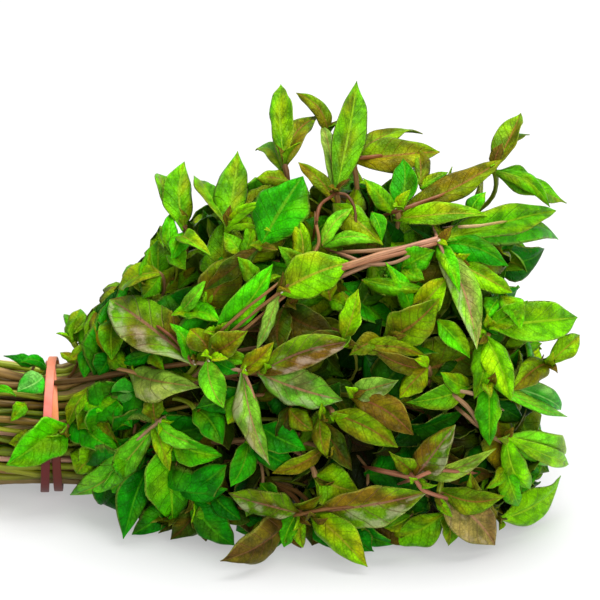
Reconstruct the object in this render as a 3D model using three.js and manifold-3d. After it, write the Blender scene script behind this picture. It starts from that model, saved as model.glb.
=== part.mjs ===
import * as THREE from 'three';
import Module from 'manifold-3d';

// A bunch of cut leafy stems lying on its side, held by a rubber band wound twice.
// Millimetres. +X runs along the bunch from the band to the leafy head, +Z is up, and the
// band's middle is at x = 0, y = 0 until the whole bunch is centred at the end of the file.

// Driving dimensions
const STEM_COUNT = 46;
const CUT_END_X = -65;
const CUT_STAGGER = 10;
const TIE_RADIUS = 26;
const CUT_FLARE = 7;
const HEAD_GROWTH_Y = 46;
const HEAD_GROWTH_Z = 38;
const HEAD_GROWTH_START = 6;
const HEAD_GROWTH_RUN = 100;
const STEM_RADIUS_CUT = 2.1;
const STEM_RADIUS_TIP = 1.2;
const STEM_SIDES = 5;
const STEM_BENDS = [-12, 6, 20, 38, 62, 92];
const TWIG_RADIUS = 1.1;
const TWIG_SIDES = 3;
const BAND_WIDTH = 4;
const BAND_THICKNESS = 1.1;
const BAND_SPREAD = 3.2;
const BAND_LAYER = 0.95;
const BAND_RADIUS = 29.7;
const BAND_STEPS = 72;
const BLADE_RIDGE = 1.3;
const PETIOLE_HALF = 0.9;
const CLEARANCE = 0.5;
const BAND_CLEARANCE = 0.3;
const ROOT_VOLUME = 2;
const NO_VOLUME = 1e-6;
const LEAST_HEIGHT = 0.05;
const ROOT_DEPTH = 0.3;
const JOINT_STEP = 1.7;
const FLAT_SPOT_DEPTH = 1.4;
const LEAF_SPACING = 20;
const JOINTS_OUTSIDE = 4;
const JOINTS_HIDDEN = 1;
const RULE_LEAF_LENGTH = 38;
const YOUNG_LEAF_SIZE = 0.72;
const BELOW_SIZE = { x: 500, y: 400, z: 20 };
const BELOW_MIDDLE_X = 80;

// How the section grows: the power of the flare at the cut ends and of the quarter sine of the head
const CUT_FLARE_POWER = 1.5;
const HEAD_GROWTH_POWER = 1.35;

// Where stems end: an outermost stem may end at STEM_END_INNER - STEM_END_DROP, one in the
// middle at STEM_END_INNER, and every one may run on as far as STEM_END_LONGEST
const STEM_END_INNER = 190;
const STEM_END_DROP = 115;
const STEM_END_LONGEST = 205;
const LAST_RUN = 8;
const LONG_STEM = 130;

// The head's rounded front, in millimetres: how far it stands out past the bundle, and where
// and how fast it narrows towards the end
const FRONT_EXTRA = 3;
const FRONT_GROWTH = 50;
const FRONT_POWER = 2.2;
const FRONT_TAPER_X = 150;
const FRONT_TAPER_RUN = 92;
const FRONT_TAPER_SHARE = 0.8;
const SURFACE_MARGIN = 2.2;

// The view that the shown sprigs were read from: 600 units wide and high, seen along +Y from
// a raised point. One unit is VIEW_UNIT millimetres, and the band stands at VIEW_TIE.
const VIEW_UNIT = 0.45;
const VIEW_TIE = { across: 50, down: 487 };
const VIEW_ELEVATION = THREE.MathUtils.degToRad(25);
const VIEW_COS = Math.cos(VIEW_ELEVATION);
const VIEW_SIN = Math.sin(VIEW_ELEVATION);

// Upper and lower outline of the leafy head in that view, as [across, down].
const TOP_OUTLINE = [
  [50, 345], [62, 335], [100, 283], [140, 250], [160, 195], [200, 185], [240, 158], [280, 130],
  [360, 125], [440, 145], [520, 150], [560, 200], [580, 300],
];
const BOTTOM_OUTLINE = [
  [50, 490], [70, 494], [100, 520], [124, 538], [224, 555], [366, 562], [495, 546], [530, 520],
  [560, 480], [580, 350],
];

// Sprigs that the view shows: the point they spring from, how far they stand proud, and for
// each leaf its tip and its width across, all in view units but the millimetres of lift.
const SHOWN_SPRIGS = [
  { at: [196, 362], lift: 6, leaves: [[108, 297, 50], [170, 323, 18]] },
  { at: [211, 350], lift: 9, leaves: [[190, 329, 24], [247, 331, 25]] },
  { at: [130, 371], lift: 3, leaves: [[199, 386, 36]] },
  { at: [209, 359], lift: 12, leaves: [[224, 408, 24]] },
  { at: [244, 371], lift: 9, leaves: [[270, 465, 22], [274, 342, 17], [213, 358, 12]] },
  { at: [262, 372], lift: 7, leaves: [[351, 341, 30], [343, 400, 36]] },
  { at: [216, 334], lift: 3, leaves: [[273, 264, 27]] },
  { at: [280, 291], lift: 5, leaves: [[350, 262, 40], [256, 352, 11]] },
  { at: [286, 306], lift: -4, leaves: [[281, 356, 32], [336, 334, 34]] },
  { at: [184, 224], lift: 2, leaves: [[158, 170, 24], [184, 161, 28], [172, 257, 18], [211, 256, 16]] },
  { at: [228, 224], lift: 2, leaves: [[197, 177, 22], [238, 149, 29], [267, 203, 13], [268, 228, 14]] },
  { at: [261, 246], lift: 3, leaves: [[303, 176, 50], [204, 290, 18]] },
  { at: [262, 284], lift: 1, leaves: [[238, 257, 15]] },
  { at: [284, 163], lift: 2, leaves: [[281, 80, 21], [319, 114, 26], [254, 146, 14]] },
  { at: [336, 193], lift: 2, leaves: [[357, 80, 29], [322, 124, 13], [298, 162, 16], [382, 243, 28]] },
  { at: [328, 132], lift: -3, leaves: [[296, 90, 16]] },
  { at: [352, 158], lift: -4, leaves: [[441, 150, 40]] },
  { at: [397, 211], lift: 3, leaves: [[403, 158, 24], [363, 178, 18], [503, 160, 30], [489, 212, 22]] },
  { at: [494, 168], lift: 0, leaves: [[522, 111, 24], [568, 203, 30]] },
  { at: [438, 241], lift: 6, leaves: [[568, 231, 36], [476, 350, 28], [458, 290, 15], [508, 266, 26]] },
  { at: [452, 262], lift: 0, leaves: [[512, 292, 26]] },
  { at: [488, 326], lift: 3, leaves: [[580, 317, 38], [527, 300, 18]] },
  { at: [548, 364], lift: 0, leaves: [[581, 334, 20], [511, 390, 24]] },
  { at: [485, 336], lift: 3, leaves: [[510, 400, 26], [474, 398, 20]] },
  { at: [488, 382], lift: 3, leaves: [[489, 445, 22], [569, 415, 20]] },
  { at: [506, 436], lift: 1, leaves: [[569, 462, 38], [531, 492, 22]] },
  { at: [500, 520], lift: 1, leaves: [[565, 478, 38], [470, 472, 24]] },
  { at: [415, 478], lift: 5, leaves: [[455, 424, 30], [496, 447, 16], [389, 452, 18]] },
  { at: [438, 494], lift: 6, leaves: [[495, 545, 40], [505, 497, 26]] },
  { at: [446, 512], lift: 2, leaves: [[388, 541, 30], [449, 547, 18]] },
  { at: [300, 514], lift: 6, leaves: [[228, 495, 34], [284, 547, 18], [303, 548, 14], [321, 497, 16]] },
  { at: [310, 514], lift: 8, leaves: [[429, 494, 42], [366, 567, 32]] },
  { at: [288, 526], lift: 2, leaves: [[224, 563, 36]] },
  { at: [350, 524], lift: 0, leaves: [[396, 546, 24]] },
  { at: [316, 478], lift: 0, leaves: [[359, 492, 38]] },
  { at: [325, 449], lift: 2, leaves: [[273, 474, 16]] },
  { at: [321, 418], lift: 3, leaves: [[328, 458, 16], [352, 470, 20]] },
  { at: [333, 414], lift: 4, leaves: [[398, 447, 30]] },
  { at: [352, 396], lift: 4, leaves: [[413, 434, 30], [398, 380, 22]] },
  { at: [427, 366], lift: 3, leaves: [[399, 398, 21], [372, 349, 16]] },
  { at: [386, 340], lift: 2, leaves: [[439, 298, 38], [349, 355, 20]] },
  { at: [345, 340], lift: 4, leaves: [[358, 289, 20], [307, 336, 14]] },
  { at: [412, 310], lift: 0, leaves: [[447, 277, 26], [385, 262, 16]] },
  { at: [159, 423], lift: 9, leaves: [[66, 500, 27], [152, 388, 18], [170, 471, 15], [207, 446, 15]] },
  { at: [172, 440], lift: 5, leaves: [[221, 456, 27], [173, 527, 48]] },
  { at: [196, 410], lift: 2, leaves: [[223, 444, 26]] },
  { at: [152, 468], lift: 0, leaves: [[106, 494, 38], [124, 540, 30]] },
  { at: [192, 498], lift: 0, leaves: [[234, 546, 36], [226, 466, 30]] },
  { at: [250, 440], lift: 0, leaves: [[231, 487, 24], [299, 470, 24]] },
  { at: [72, 342], lift: 1, leaves: [[79, 308, 20]] },
  { at: [114, 318], lift: 2, leaves: [[112, 358, 26]] },
  { at: [142, 393], lift: 3, leaves: [[109, 393, 23]] },
  { at: [146, 292], lift: 0, leaves: [[130, 263, 24], [150, 249, 14]] },
  { at: [205, 309], lift: -2, leaves: [[247, 252, 38], [171, 315, 18]] },
  { at: [66, 428], lift: 5, leaves: [[6, 466, 40]] },
  { at: [84, 420], lift: 1, leaves: [[120, 452, 26], [126, 478, 24]] },
];

// Which way a leaf's upper side faces, as shares of the direction outwards: a little towards
// the head's end, and towards the viewer
const OUTWARD_AHEAD = 0.15;
const OUTWARD_TO_VIEWER = 0.9;

// Side shoots: the least x where one leaves its stem, where it bends, and how deep below the
// head's front its end lies
const TWIG_FIRST_X = 7;
const TWIG_AHEAD = 0.45;
const TWIG_BEND = 0.35;
const TWIG_TIP_SHARE = 0.9;
const TWIG_DEPTH = 5;

// A stem bears many pairs where it is an outer one that doesn't face the viewer
const OUTER_REACH = 0.6;
const VIEWER_SIDE = 0.35;

// Where pairs of leaves grow: past the band, and inside the head's outline by these margins
const PAIR_FIRST_X = 16;
const TOP_MARGIN = 6;
const BOTTOM_MARGIN = 4;
const FRONT_MARGIN = 7;
const LAST_ACROSS = 572;

// A blade's outline, its wave, and where along it the corners of a large and a small one stand
const BLADE_SCALE = 4.46;
const BLADE_BASE_POWER = 0.95;
const BLADE_TIP_POWER = 1.2;
const BLADE_WAVE = 0.12;
const BLADE_WAVE_STEP = 2.6;
const SHOWN_STATIONS = [0.25, 0.51, 0.78];
const PAIR_STATIONS = [0.28, 0.62];
const SMALL_LEAF = 22;

// Ranges that the seeded draws of one leaf run over, each as its least value and its span
const ARCH_SHOWN = { least: 0.05, span: 0.07 };
const ARCH_PAIR = { least: 0.04, span: 0.1 };
const FOLD = { least: 0.1, span: 0.3 };
const WAVE_TURN = { least: 0, span: 6.28 };
const SHOWN_LIFT = { least: 2, span: 4 };
const SHOWN_SWING = { least: -12, span: 24 };
const PAIR_LENGTH = { least: 0.85, span: 0.4 };
const PAIR_WIDTH = { least: 0.19, span: 0.06 };
const PAIR_SPACING = { least: 0.9, span: 0.2 };
const PAIR_LEAN = { least: 38, span: 14 };
const PAIR_LEAN_STEP = 9;

// How far a shown leaf's plane tilts from the view's, how far the upper side of a pair's leaf
// faces its stem, and how far from the stem's end the last pair grows
const VIEW_TILT = 0.35;
const PAIR_FACE_IN = 0.3;
const TIP_RUN = 2;

// Depth changes, in millimetres, and turns about its own axis, in degrees, that a piece which
// would cross another stem's leaves tries in this order until it is clear.
const DEPTH_TRIES = [0, 3, -3, 6, -6, 9, -9, 13, -13, 18];
const ROLL_TRIES = [0, 18, -18, 36];
const TWIG_DEPTH_TRIES = [0, 3, -3, 6, -6, 10, -10];
const TWIG_RUN_TRIES = [26, 14, 40];
const TWIG_STEM_TRIES = 5;
const RULE_TRIES = [
  { lean: 0, turn: 0, size: 1 }, { lean: -16, turn: 0, size: 1 }, { lean: 14, turn: 0, size: 1 },
  { lean: 0, turn: 24, size: 0.9 }, { lean: 0, turn: -24, size: 0.9 }, { lean: -26, turn: 12, size: 0.85 },
  { lean: 10, turn: 40, size: 0.8 }, { lean: 10, turn: -40, size: 0.8 }, { lean: -30, turn: 0, size: 0.7 },
];

const GOLDEN_ANGLE = Math.PI * (3 - Math.sqrt(5));

const manifold = await Module();
manifold.setup();

/** A number from 0 to 1 that depends only on its three arguments. */
function draw(a, b, c) {
  const s = Math.sin(a * 12.9898 + b * 78.233 + c * 37.719) * 43758.5453;
  return s - Math.floor(s);
}

/** A seeded value in a range. */
function within(range, a, b, c) {
  return range.least + range.span * draw(a, b, c);
}

/** The value at x of a line through points [x, value]. */
function along(points, x) {
  if (x <= points[0][0]) return points[0][1];
  for (let i = 1; i < points.length; i += 1) {
    const [x0, y0] = points[i - 1];
    const [x1, y1] = points[i];
    if (x <= x1) return y0 + (y1 - y0) * (x - x0) / (x1 - x0);
  }
  return points[points.length - 1][1];
}

/** How far the head has opened at x, from 0 just past the band to 1. */
function opening(x) {
  const t = THREE.MathUtils.clamp((x - HEAD_GROWTH_START) / HEAD_GROWTH_RUN, 0, 1);
  return Math.pow(Math.sin(Math.PI / 2 * t), HEAD_GROWTH_POWER);
}

/** Places of the stems in the bundle: a sunflower pattern over a unit disc. */
const stemPlaces = Array.from({ length: STEM_COUNT }, (_, i) => {
  const reach = Math.sqrt((i + 0.5) / STEM_COUNT);
  const angle = i * GOLDEN_ANGLE;
  return { side: reach * Math.cos(angle), up: reach * Math.sin(angle), reach };
});
const lowestPlace = Math.min(...stemPlaces.map((place) => place.up));
const lowestStem = stemPlaces.findIndex((place) => place.up === lowestPlace);

const BAND_MIDDLE_Z = BAND_RADIUS + BAND_THICKNESS / 2 + LEAST_HEIGHT;
const HEAD_HALF_Z = TIE_RADIUS + HEAD_GROWTH_Z;
const HEAD_RISE = STEM_RADIUS_CUT - FLAT_SPOT_DEPTH - lowestPlace * HEAD_HALF_Z - BAND_MIDDLE_Z;

/** Half width, half height and middle height of the bunch of stems at x. */
function section(x) {
  const cut = CUT_FLARE * Math.pow(Math.max(0, x / CUT_END_X), CUT_FLARE_POWER);
  const open = opening(x);
  return {
    halfY: TIE_RADIUS + cut + HEAD_GROWTH_Y * open,
    halfZ: TIE_RADIUS + cut + HEAD_GROWTH_Z * open,
    middle: BAND_MIDDLE_Z + cut + HEAD_RISE * open,
  };
}

/** Where the smooth course of stem i passes x. */
function coursePoint(i, x) {
  const s = section(x);
  const place = stemPlaces[i];
  return new THREE.Vector3(x, s.halfY * place.side, s.middle + s.halfZ * place.up);
}

/** Where stem i starts, bends and ends. */
function stemStations(i) {
  const end = stemEnd(i);
  const stations = STEM_BENDS.filter((x) => x < end - LAST_RUN);
  if (end > LONG_STEM) stations.push((STEM_BENDS.at(-1) + end) / 2);
  return [CUT_END_X + CUT_STAGGER * draw(i, 2, 0), ...stations, end];
}

/** The point of stem i at x, on the straight run between two bends. */
function stemPoint(i, x) {
  const stations = stemStations(i);
  const next = Math.max(1, stations.findIndex((station) => station >= x));
  const [a, b] = x > stations.at(-1) ? stations.slice(-2) : [stations[next - 1], stations[next]];
  return coursePoint(i, a).lerp(coursePoint(i, b), (x - a) / (b - a));
}

/** The direction of stem i at x. */
function stemDirection(i, x) {
  return stemPoint(i, x + 1).sub(stemPoint(i, x - 1)).normalize();
}

/** Where stem i ends in a leafy tip: the outer ones at many lengths, the inner ones far out. */
function stemEnd(i) {
  const { reach } = stemPlaces[i];
  const shortest = STEM_END_INNER - STEM_END_DROP * reach * reach;
  return shortest + (STEM_END_LONGEST - shortest) * draw(i, 1, 0);
}

/** Radius of a stem at x. */
function stemRadius(i, x) {
  const t = THREE.MathUtils.clamp((x - CUT_END_X) / (stemEnd(i) - CUT_END_X), 0, 1);
  return STEM_RADIUS_CUT + (STEM_RADIUS_TIP - STEM_RADIUS_CUT) * t;
}

/** A closed body through rings of equal size, with flat ends, or from a root point to a tip. */
function loft(rings, root, tip) {
  const size = rings[0].length;
  const points = rings.flat();
  const faces = [];
  for (let i = 0; i + 1 < rings.length; i += 1) {
    for (let j = 0; j < size; j += 1) {
      const a = i * size + j;
      const b = i * size + (j + 1) % size;
      if (j % 2 === 0) faces.push(a, b, b + size, a, b + size, a + size);
      else faces.push(a, b, a + size, b, b + size, a + size);
    }
  }
  const last = (rings.length - 1) * size;
  if (tip) {
    points.push(root, tip);
    for (let j = 0; j < size; j += 1) {
      const next = (j + 1) % size;
      faces.push(points.length - 2, next, j);
      faces.push(last + j, last + next, points.length - 1);
    }
  } else {
    for (let j = 1; j + 1 < size; j += 1) {
      faces.push(0, j + 1, j);
      faces.push(last, last + j, last + j + 1);
    }
  }
  const positions = new Float32Array(points.flatMap((p) => [p.x, p.y, p.z]));
  return solidOf(positions, new Uint32Array(faces));
}

/** A solid from positions and faces, turned inside out if its faces point in. */
function solidOf(positions, faces) {
  const build = (triVerts) => new manifold.Manifold(
    new manifold.Mesh({ numProp: 3, vertProperties: positions, triVerts }),
  );
  const solid = build(faces);
  if (solid.volume() > 0) return solid;
  const turned = faces.slice();
  for (let i = 0; i < turned.length; i += 3) [turned[i], turned[i + 1]] = [turned[i + 1], turned[i]];
  return build(turned);
}

/** A tapering tube through points, each with its radius. */
function tube(points, radii, sides) {
  const rings = points.map((point, i) => {
    const before = points[Math.max(i - 1, 0)];
    const after = points[Math.min(i + 1, points.length - 1)];
    const heading = after.clone().sub(before).normalize();
    const up = Math.abs(heading.z) > 0.9 ? new THREE.Vector3(0, 1, 0) : new THREE.Vector3(0, 0, 1);
    const side = new THREE.Vector3().crossVectors(heading, up).normalize();
    const top = new THREE.Vector3().crossVectors(side, heading);
    return Array.from({ length: sides }, (_, j) => {
      const angle = 2 * Math.PI * j / sides;
      return point.clone()
        .addScaledVector(side, radii[i] * Math.cos(angle))
        .addScaledVector(top, radii[i] * Math.sin(angle));
    });
  });
  return loft(rings);
}

/**
 * Half width of a blade, as a share of its greatest, at t from stalk to tip: a skewed hump
 * whose peak the scale brings to 1.
 */
function bladeShare(t) {
  return BLADE_SCALE * Math.pow(t, BLADE_BASE_POWER) * Math.pow(1 - t, BLADE_TIP_POWER);
}

/**
 * A leaf from root to tip: an arched, folded and waved blade, thickest along its midrib.
 * leaf holds root, tip, half (greatest half width), up (its upper side), arch, fold, phase
 * and the stations along it.
 */
function leafSolid(leaf, extra = 0) {
  const axis = leaf.tip.clone().sub(leaf.root);
  const length = axis.length();
  axis.normalize();
  const up = leaf.up.clone().addScaledVector(axis, -leaf.up.dot(axis)).normalize();
  const side = new THREE.Vector3().crossVectors(axis, up);
  const ridge = BLADE_RIDGE / 2 + extra / 2;
  const rings = leaf.stations.map((t, i) => {
    const half = PETIOLE_HALF + extra / 2 + leaf.half * bladeShare(t);
    const centre = leaf.root.clone()
      .addScaledVector(axis, t * length)
      .addScaledVector(up, leaf.arch * length * Math.sin(Math.PI * t));
    const rise = leaf.half * bladeShare(t);
    const lift = (s) => rise * (leaf.fold + BLADE_WAVE * Math.sin(leaf.phase + BLADE_WAVE_STEP * i * s));
    return [
      centre.clone().addScaledVector(side, -half).addScaledVector(up, lift(-1)),
      centre.clone().addScaledVector(up, ridge),
      centre.clone().addScaledVector(side, half).addScaledVector(up, lift(1)),
      centre.clone().addScaledVector(up, -ridge),
    ];
  });
  return loft(rings, leaf.root.clone(), leaf.tip.clone());
}

/** The point of the view at across, down, moved depth towards the viewer. */
function viewPoint(across, down, depth) {
  const rise = (VIEW_TIE.down - down) * VIEW_UNIT;
  return new THREE.Vector3(
    (across - VIEW_TIE.across) * VIEW_UNIT,
    rise * VIEW_SIN - depth * VIEW_COS,
    rise * VIEW_COS + depth * VIEW_SIN,
  );
}

/** How near the viewer the head's front surface is, in millimetres, where the view shows it. */
function frontDepth(across, down) {
  const top = along(TOP_OUTLINE, across);
  const bottom = along(BOTTOM_OUTLINE, across);
  const x = (across - VIEW_TIE.across) * VIEW_UNIT;
  const middle = section(x).middle * VIEW_SIN;
  const beyond = THREE.MathUtils.clamp((x - FRONT_TAPER_X) / FRONT_TAPER_RUN, 0, 1);
  const taper = Math.sqrt(1 - FRONT_TAPER_SHARE * Math.pow(beyond, 4));
  const deep = (TIE_RADIUS + FRONT_EXTRA + FRONT_GROWTH * opening(x)) * taper;
  const t = THREE.MathUtils.clamp(Math.abs(2 * down - top - bottom) / (bottom - top), 0, 1);
  const depth = middle + deep * Math.pow(1 - Math.pow(t, FRONT_POWER), 1 / FRONT_POWER);
  const rise = (VIEW_TIE.down - down) * VIEW_UNIT;
  const onSurface = (SURFACE_MARGIN - rise * VIEW_COS) / VIEW_SIN;
  return Math.max(depth, onSurface);
}

/** The direction that leads from the head's middle outwards and towards the viewer. */
function outwardAt(point) {
  const s = section(point.x);
  return new THREE.Vector3(
    OUTWARD_AHEAD,
    point.y / s.halfY - OUTWARD_TO_VIEWER * VIEW_COS,
    (point.z - s.middle) / s.halfZ + OUTWARD_TO_VIEWER * VIEW_SIN,
  ).normalize();
}

// What has been placed, each with the stem it grows from and its box.
const placed = [];

/** The box round a solid. */
function boxOf(solid) {
  const { min, max } = solid.boundingBox();
  return new THREE.Box3(new THREE.Vector3(...min), new THREE.Vector3(...max));
}

/** Whether a solid is above the surface, clear of other stems, and meets its own only at roots. */
function isClear(solid, stem, shared = ROOT_VOLUME) {
  const box = boxOf(solid);
  if (box.min.z < LEAST_HEIGHT) return false;
  return placed.every((other) => {
    if (!other.box.intersectsBox(box)) return true;
    return solid.intersect(other.solid).volume() < (other.stem === stem ? shared : NO_VOLUME);
  });
}

/** Keeps a solid as placed. */
function place(stem, solid) {
  placed.push({ stem, solid, box: boxOf(solid) });
}

/** Stem i as a tapering tube through its bends. */
function stemSolid(i) {
  const stations = stemStations(i);
  const points = stations.map((x) => coursePoint(i, x));
  return tube(points, stations.map((x) => stemRadius(i, x)), STEM_SIDES);
}

/** Places every stem, and the band's room, before any leaf. */
function growStems() {
  for (let i = 0; i < STEM_COUNT; i += 1) place(i, stemSolid(i));
  place('band', bandSolid(BAND_CLEARANCE));
}

/** The side shoot from stem i to a sprig's point: it leaves the stem run millimetres before. */
function twigPoints(i, point, run) {
  const rootX = Math.max(TWIG_FIRST_X, point.x - run);
  const root = stemPoint(i, rootX);
  const heading = stemDirection(i, rootX);
  const reach = point.distanceTo(root);
  const bend = root.clone().addScaledVector(heading, TWIG_AHEAD * reach).lerp(point, TWIG_BEND);
  return [root, bend, point.clone()];
}

/** The stems nearest to a point, nearest first, among those that reach it. */
function stemsNear(point, run) {
  const rootX = Math.max(TWIG_FIRST_X, point.x - run);
  return stemPlaces.map((_, i) => i)
    .filter((i) => stemEnd(i) > rootX + 2)
    .sort((a, b) => stemPoint(a, rootX).distanceTo(point) - stemPoint(b, rootX).distanceTo(point))
    .slice(0, TWIG_STEM_TRIES);
}

/** Grows one shown sprig on the nearest stem that its side shoot can reach clear of others. */
function growSprig(sprig, number) {
  const [across, down] = sprig.at;
  for (const change of TWIG_DEPTH_TRIES) {
    const point = viewPoint(across, down, frontDepth(across, down) - TWIG_DEPTH + sprig.lift + change);
    for (const run of TWIG_RUN_TRIES) {
      for (const stem of stemsNear(point, run)) {
        const points = twigPoints(stem, point, run);
        const radii = [TWIG_RADIUS, TWIG_RADIUS, TWIG_RADIUS * TWIG_TIP_SHARE];
        const wide = radii.map((radius) => radius + CLEARANCE / 2);
        if (!isClear(tube(points, wide, TWIG_SIDES), stem, Infinity)) continue;
        place(stem, tube(points, radii, TWIG_SIDES));
        const heading = points[2].clone().sub(points[1]).normalize();
        sprig.leaves.forEach((leaf, n) => {
          const joint = point.clone().addScaledVector(heading, -JOINT_STEP * (n + 0.7));
          growShownLeaf(leaf, joint, stem, number * 10 + n);
        });
        return;
      }
    }
  }
}

/** A shown leaf, from a sprig's point to its tip in the view, at one try of depth and roll. */
function shownLeaf(leaf, point, key, change, roll) {
  const [across, down, width] = leaf;
  const lift = within(SHOWN_LIFT, key, 3, 0) + change;
  const tip = viewPoint(across, down, frontDepth(across, down) + lift);
  const axis = tip.clone().sub(point).normalize();
  const middle = tip.clone().add(point).multiplyScalar(0.5);
  const swing = THREE.MathUtils.degToRad(roll + within(SHOWN_SWING, key, 4, 0));
  return {
    root: point.clone().addScaledVector(axis, -ROOT_DEPTH),
    tip,
    half: width * VIEW_UNIT / 2 / Math.cos(VIEW_TILT),
    up: outwardAt(middle).applyAxisAngle(axis, swing),
    arch: within(ARCH_SHOWN, key, 5, 0),
    fold: within(FOLD, key, 6, 0),
    phase: within(WAVE_TURN, key, 7, 0),
    stations: width < SMALL_LEAF ? PAIR_STATIONS : SHOWN_STATIONS,
  };
}

/** Grows a shown leaf at the first try of roll and depth that is clear of other stems. */
function growShownLeaf(leaf, point, stem, key) {
  for (const roll of ROLL_TRIES) {
    for (const change of DEPTH_TRIES) {
      const shape = shownLeaf(leaf, point, key, change, roll);
      if (!isClear(leafSolid(shape, CLEARANCE), stem)) continue;
      place(stem, leafSolid(shape));
      return;
    }
  }
}

/** Whether a point lies within the head's outline in the view, and behind its front leaves. */
function isInside(point) {
  const across = point.x / VIEW_UNIT + VIEW_TIE.across;
  const rise = point.y * VIEW_SIN + point.z * VIEW_COS;
  const down = VIEW_TIE.down - rise / VIEW_UNIT;
  const depth = point.z * VIEW_SIN - point.y * VIEW_COS;
  const above = down < along(TOP_OUTLINE, across) + TOP_MARGIN;
  const below = down > along(BOTTOM_OUTLINE, across) - BOTTOM_MARGIN;
  const behind = depth < frontDepth(across, down) - FRONT_MARGIN;
  return !above && !below && behind && across < LAST_ACROSS;
}

/** One leaf of the pair at a joint of stem i, at one of the tries. */
function pairLeaf(i, joint, hand, choice) {
  const key = i * 40 + joint * 2 + hand;
  const x = stemEnd(i) - TIP_RUN - joint * LEAF_SPACING * within(PAIR_SPACING, i, 8, joint);
  const heading = stemDirection(i, x);
  const across = new THREE.Vector3().crossVectors(heading, new THREE.Vector3(0, 0, 1)).normalize();
  const turn = Math.PI * hand + Math.PI / 2 * joint + within(WAVE_TURN, i, 9, 0)
    + THREE.MathUtils.degToRad(choice.turn);
  const radial = across.applyAxisAngle(heading, turn);
  const lean = THREE.MathUtils.degToRad(
    within(PAIR_LEAN, key, 10, 0) + PAIR_LEAN_STEP * Math.min(joint, 3) + choice.lean,
  );
  const axis = heading.clone().multiplyScalar(Math.cos(lean)).addScaledVector(radial, Math.sin(lean));
  const young = joint === 0 ? YOUNG_LEAF_SIZE : 1;
  const length = RULE_LEAF_LENGTH * young * within(PAIR_LENGTH, key, 11, 0) * choice.size;
  const root = stemPoint(i, x);
  return {
    root: root.clone().addScaledVector(axis, -ROOT_DEPTH),
    tip: root.clone().addScaledVector(axis, length),
    half: length * within(PAIR_WIDTH, key, 12, 0),
    up: heading.clone().addScaledVector(radial, -PAIR_FACE_IN),
    arch: within(ARCH_PAIR, key, 13, 0),
    fold: within(FOLD, key, 14, 0),
    phase: within(WAVE_TURN, key, 15, 0),
    stations: PAIR_STATIONS,
  };
}

/** How many leaf pairs stem i bears besides the shown sprigs: few inside and towards the viewer. */
function jointsOf(i) {
  const place = stemPlaces[i];
  const towardsViewer = place.up * VIEW_SIN - place.side * VIEW_COS;
  const outer = place.reach > OUTER_REACH && towardsViewer < VIEWER_SIDE;
  return outer ? JOINTS_OUTSIDE : JOINTS_HIDDEN;
}

/** Grows the leaf pairs of stem i, each leaf at its first try that is clear of other stems. */
function growPairs(i) {
  const joints = jointsOf(i);
  for (let joint = 0; joint < joints; joint += 1) {
    for (const hand of [0, 1]) {
      for (const choice of RULE_TRIES) {
        const leaf = pairLeaf(i, joint, hand, choice);
        if (leaf.root.x < PAIR_FIRST_X || !isInside(leaf.tip)) continue;
        if (!isClear(leafSolid(leaf, CLEARANCE), i)) continue;
        place(i, leafSolid(leaf));
        break;
      }
    }
  }
}

/**
 * The rubber band: one closed strip wound twice. Over two turns its path swings from side to
 * side by BAND_SPREAD and in and out by BAND_LAYER, so the turns lie side by side at the
 * bottom and one over the other at the top.
 */
function bandSolid(extra = 0) {
  const half = BAND_WIDTH / 2 + extra;
  const thick = BAND_THICKNESS / 2 + extra;
  const points = [];
  const faces = [];
  for (let i = 0; i < BAND_STEPS; i += 1) {
    const angle = 4 * Math.PI * i / BAND_STEPS;
    const x = BAND_SPREAD * Math.cos(angle / 2);
    const radius = BAND_RADIUS + BAND_LAYER * Math.sin(angle / 2);
    const outward = new THREE.Vector3(0, Math.sin(angle), -Math.cos(angle));
    for (const [dx, dr] of [[-half, -thick], [-half, thick], [half, thick], [half, -thick]]) {
      points.push(x + dx, outward.y * (radius + dr), BAND_MIDDLE_Z + outward.z * (radius + dr));
    }
    for (let j = 0; j < 4; j += 1) {
      const a = i * 4 + j;
      const b = i * 4 + (j + 1) % 4;
      const next = (n) => (n + 4) % (BAND_STEPS * 4);
      faces.push(a, b, next(b), a, next(b), next(a));
    }
  }
  return solidOf(new Float32Array(points), new Uint32Array(faces));
}

/** A box that reaches down from the surface, to level what rests on it. */
function belowSurface() {
  const box = new THREE.BoxGeometry(BELOW_SIZE.x, BELOW_SIZE.y, BELOW_SIZE.z);
  box.translate(BELOW_MIDDLE_X, 0, -BELOW_SIZE.z / 2);
  const corners = box.getAttribute('position');
  const merged = new Map();
  const points = [];
  const faces = Array.from(box.index.array, (n) => {
    const p = [corners.getX(n), corners.getY(n), corners.getZ(n)];
    const name = p.join();
    if (!merged.has(name)) {
      merged.set(name, merged.size);
      points.push(...p);
    }
    return merged.get(name);
  });
  return solidOf(new Float32Array(points), new Uint32Array(faces));
}

/** All that grows on one stem, fused into one body. */
function fused(stem) {
  const solids = placed.filter((item) => item.stem === stem).map((item) => item.solid);
  const whole = solids.reduce((sum, solid) => sum.add(solid));
  const level = stem === lowestStem ? whole.subtract(belowSurface()) : whole;
  return level.decompose().reduce((a, b) => (a.volume() > b.volume() ? a : b));
}

/** A named mesh of a solid. */
function meshOf(name, solid, material) {
  const { vertProperties, triVerts } = solid.getMesh();
  const geometry = new THREE.BufferGeometry();
  geometry.setAttribute('position', new THREE.BufferAttribute(new Float32Array(vertProperties), 3));
  geometry.setIndex(new THREE.BufferAttribute(new Uint32Array(triVerts), 1));
  const mesh = new THREE.Mesh(geometry, material);
  mesh.name = name;
  return mesh;
}

growStems();
SHOWN_SPRIGS.forEach((sprig, n) => growSprig(sprig, n + 1));
stemPlaces.forEach((_, i) => growPairs(i));

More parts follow.
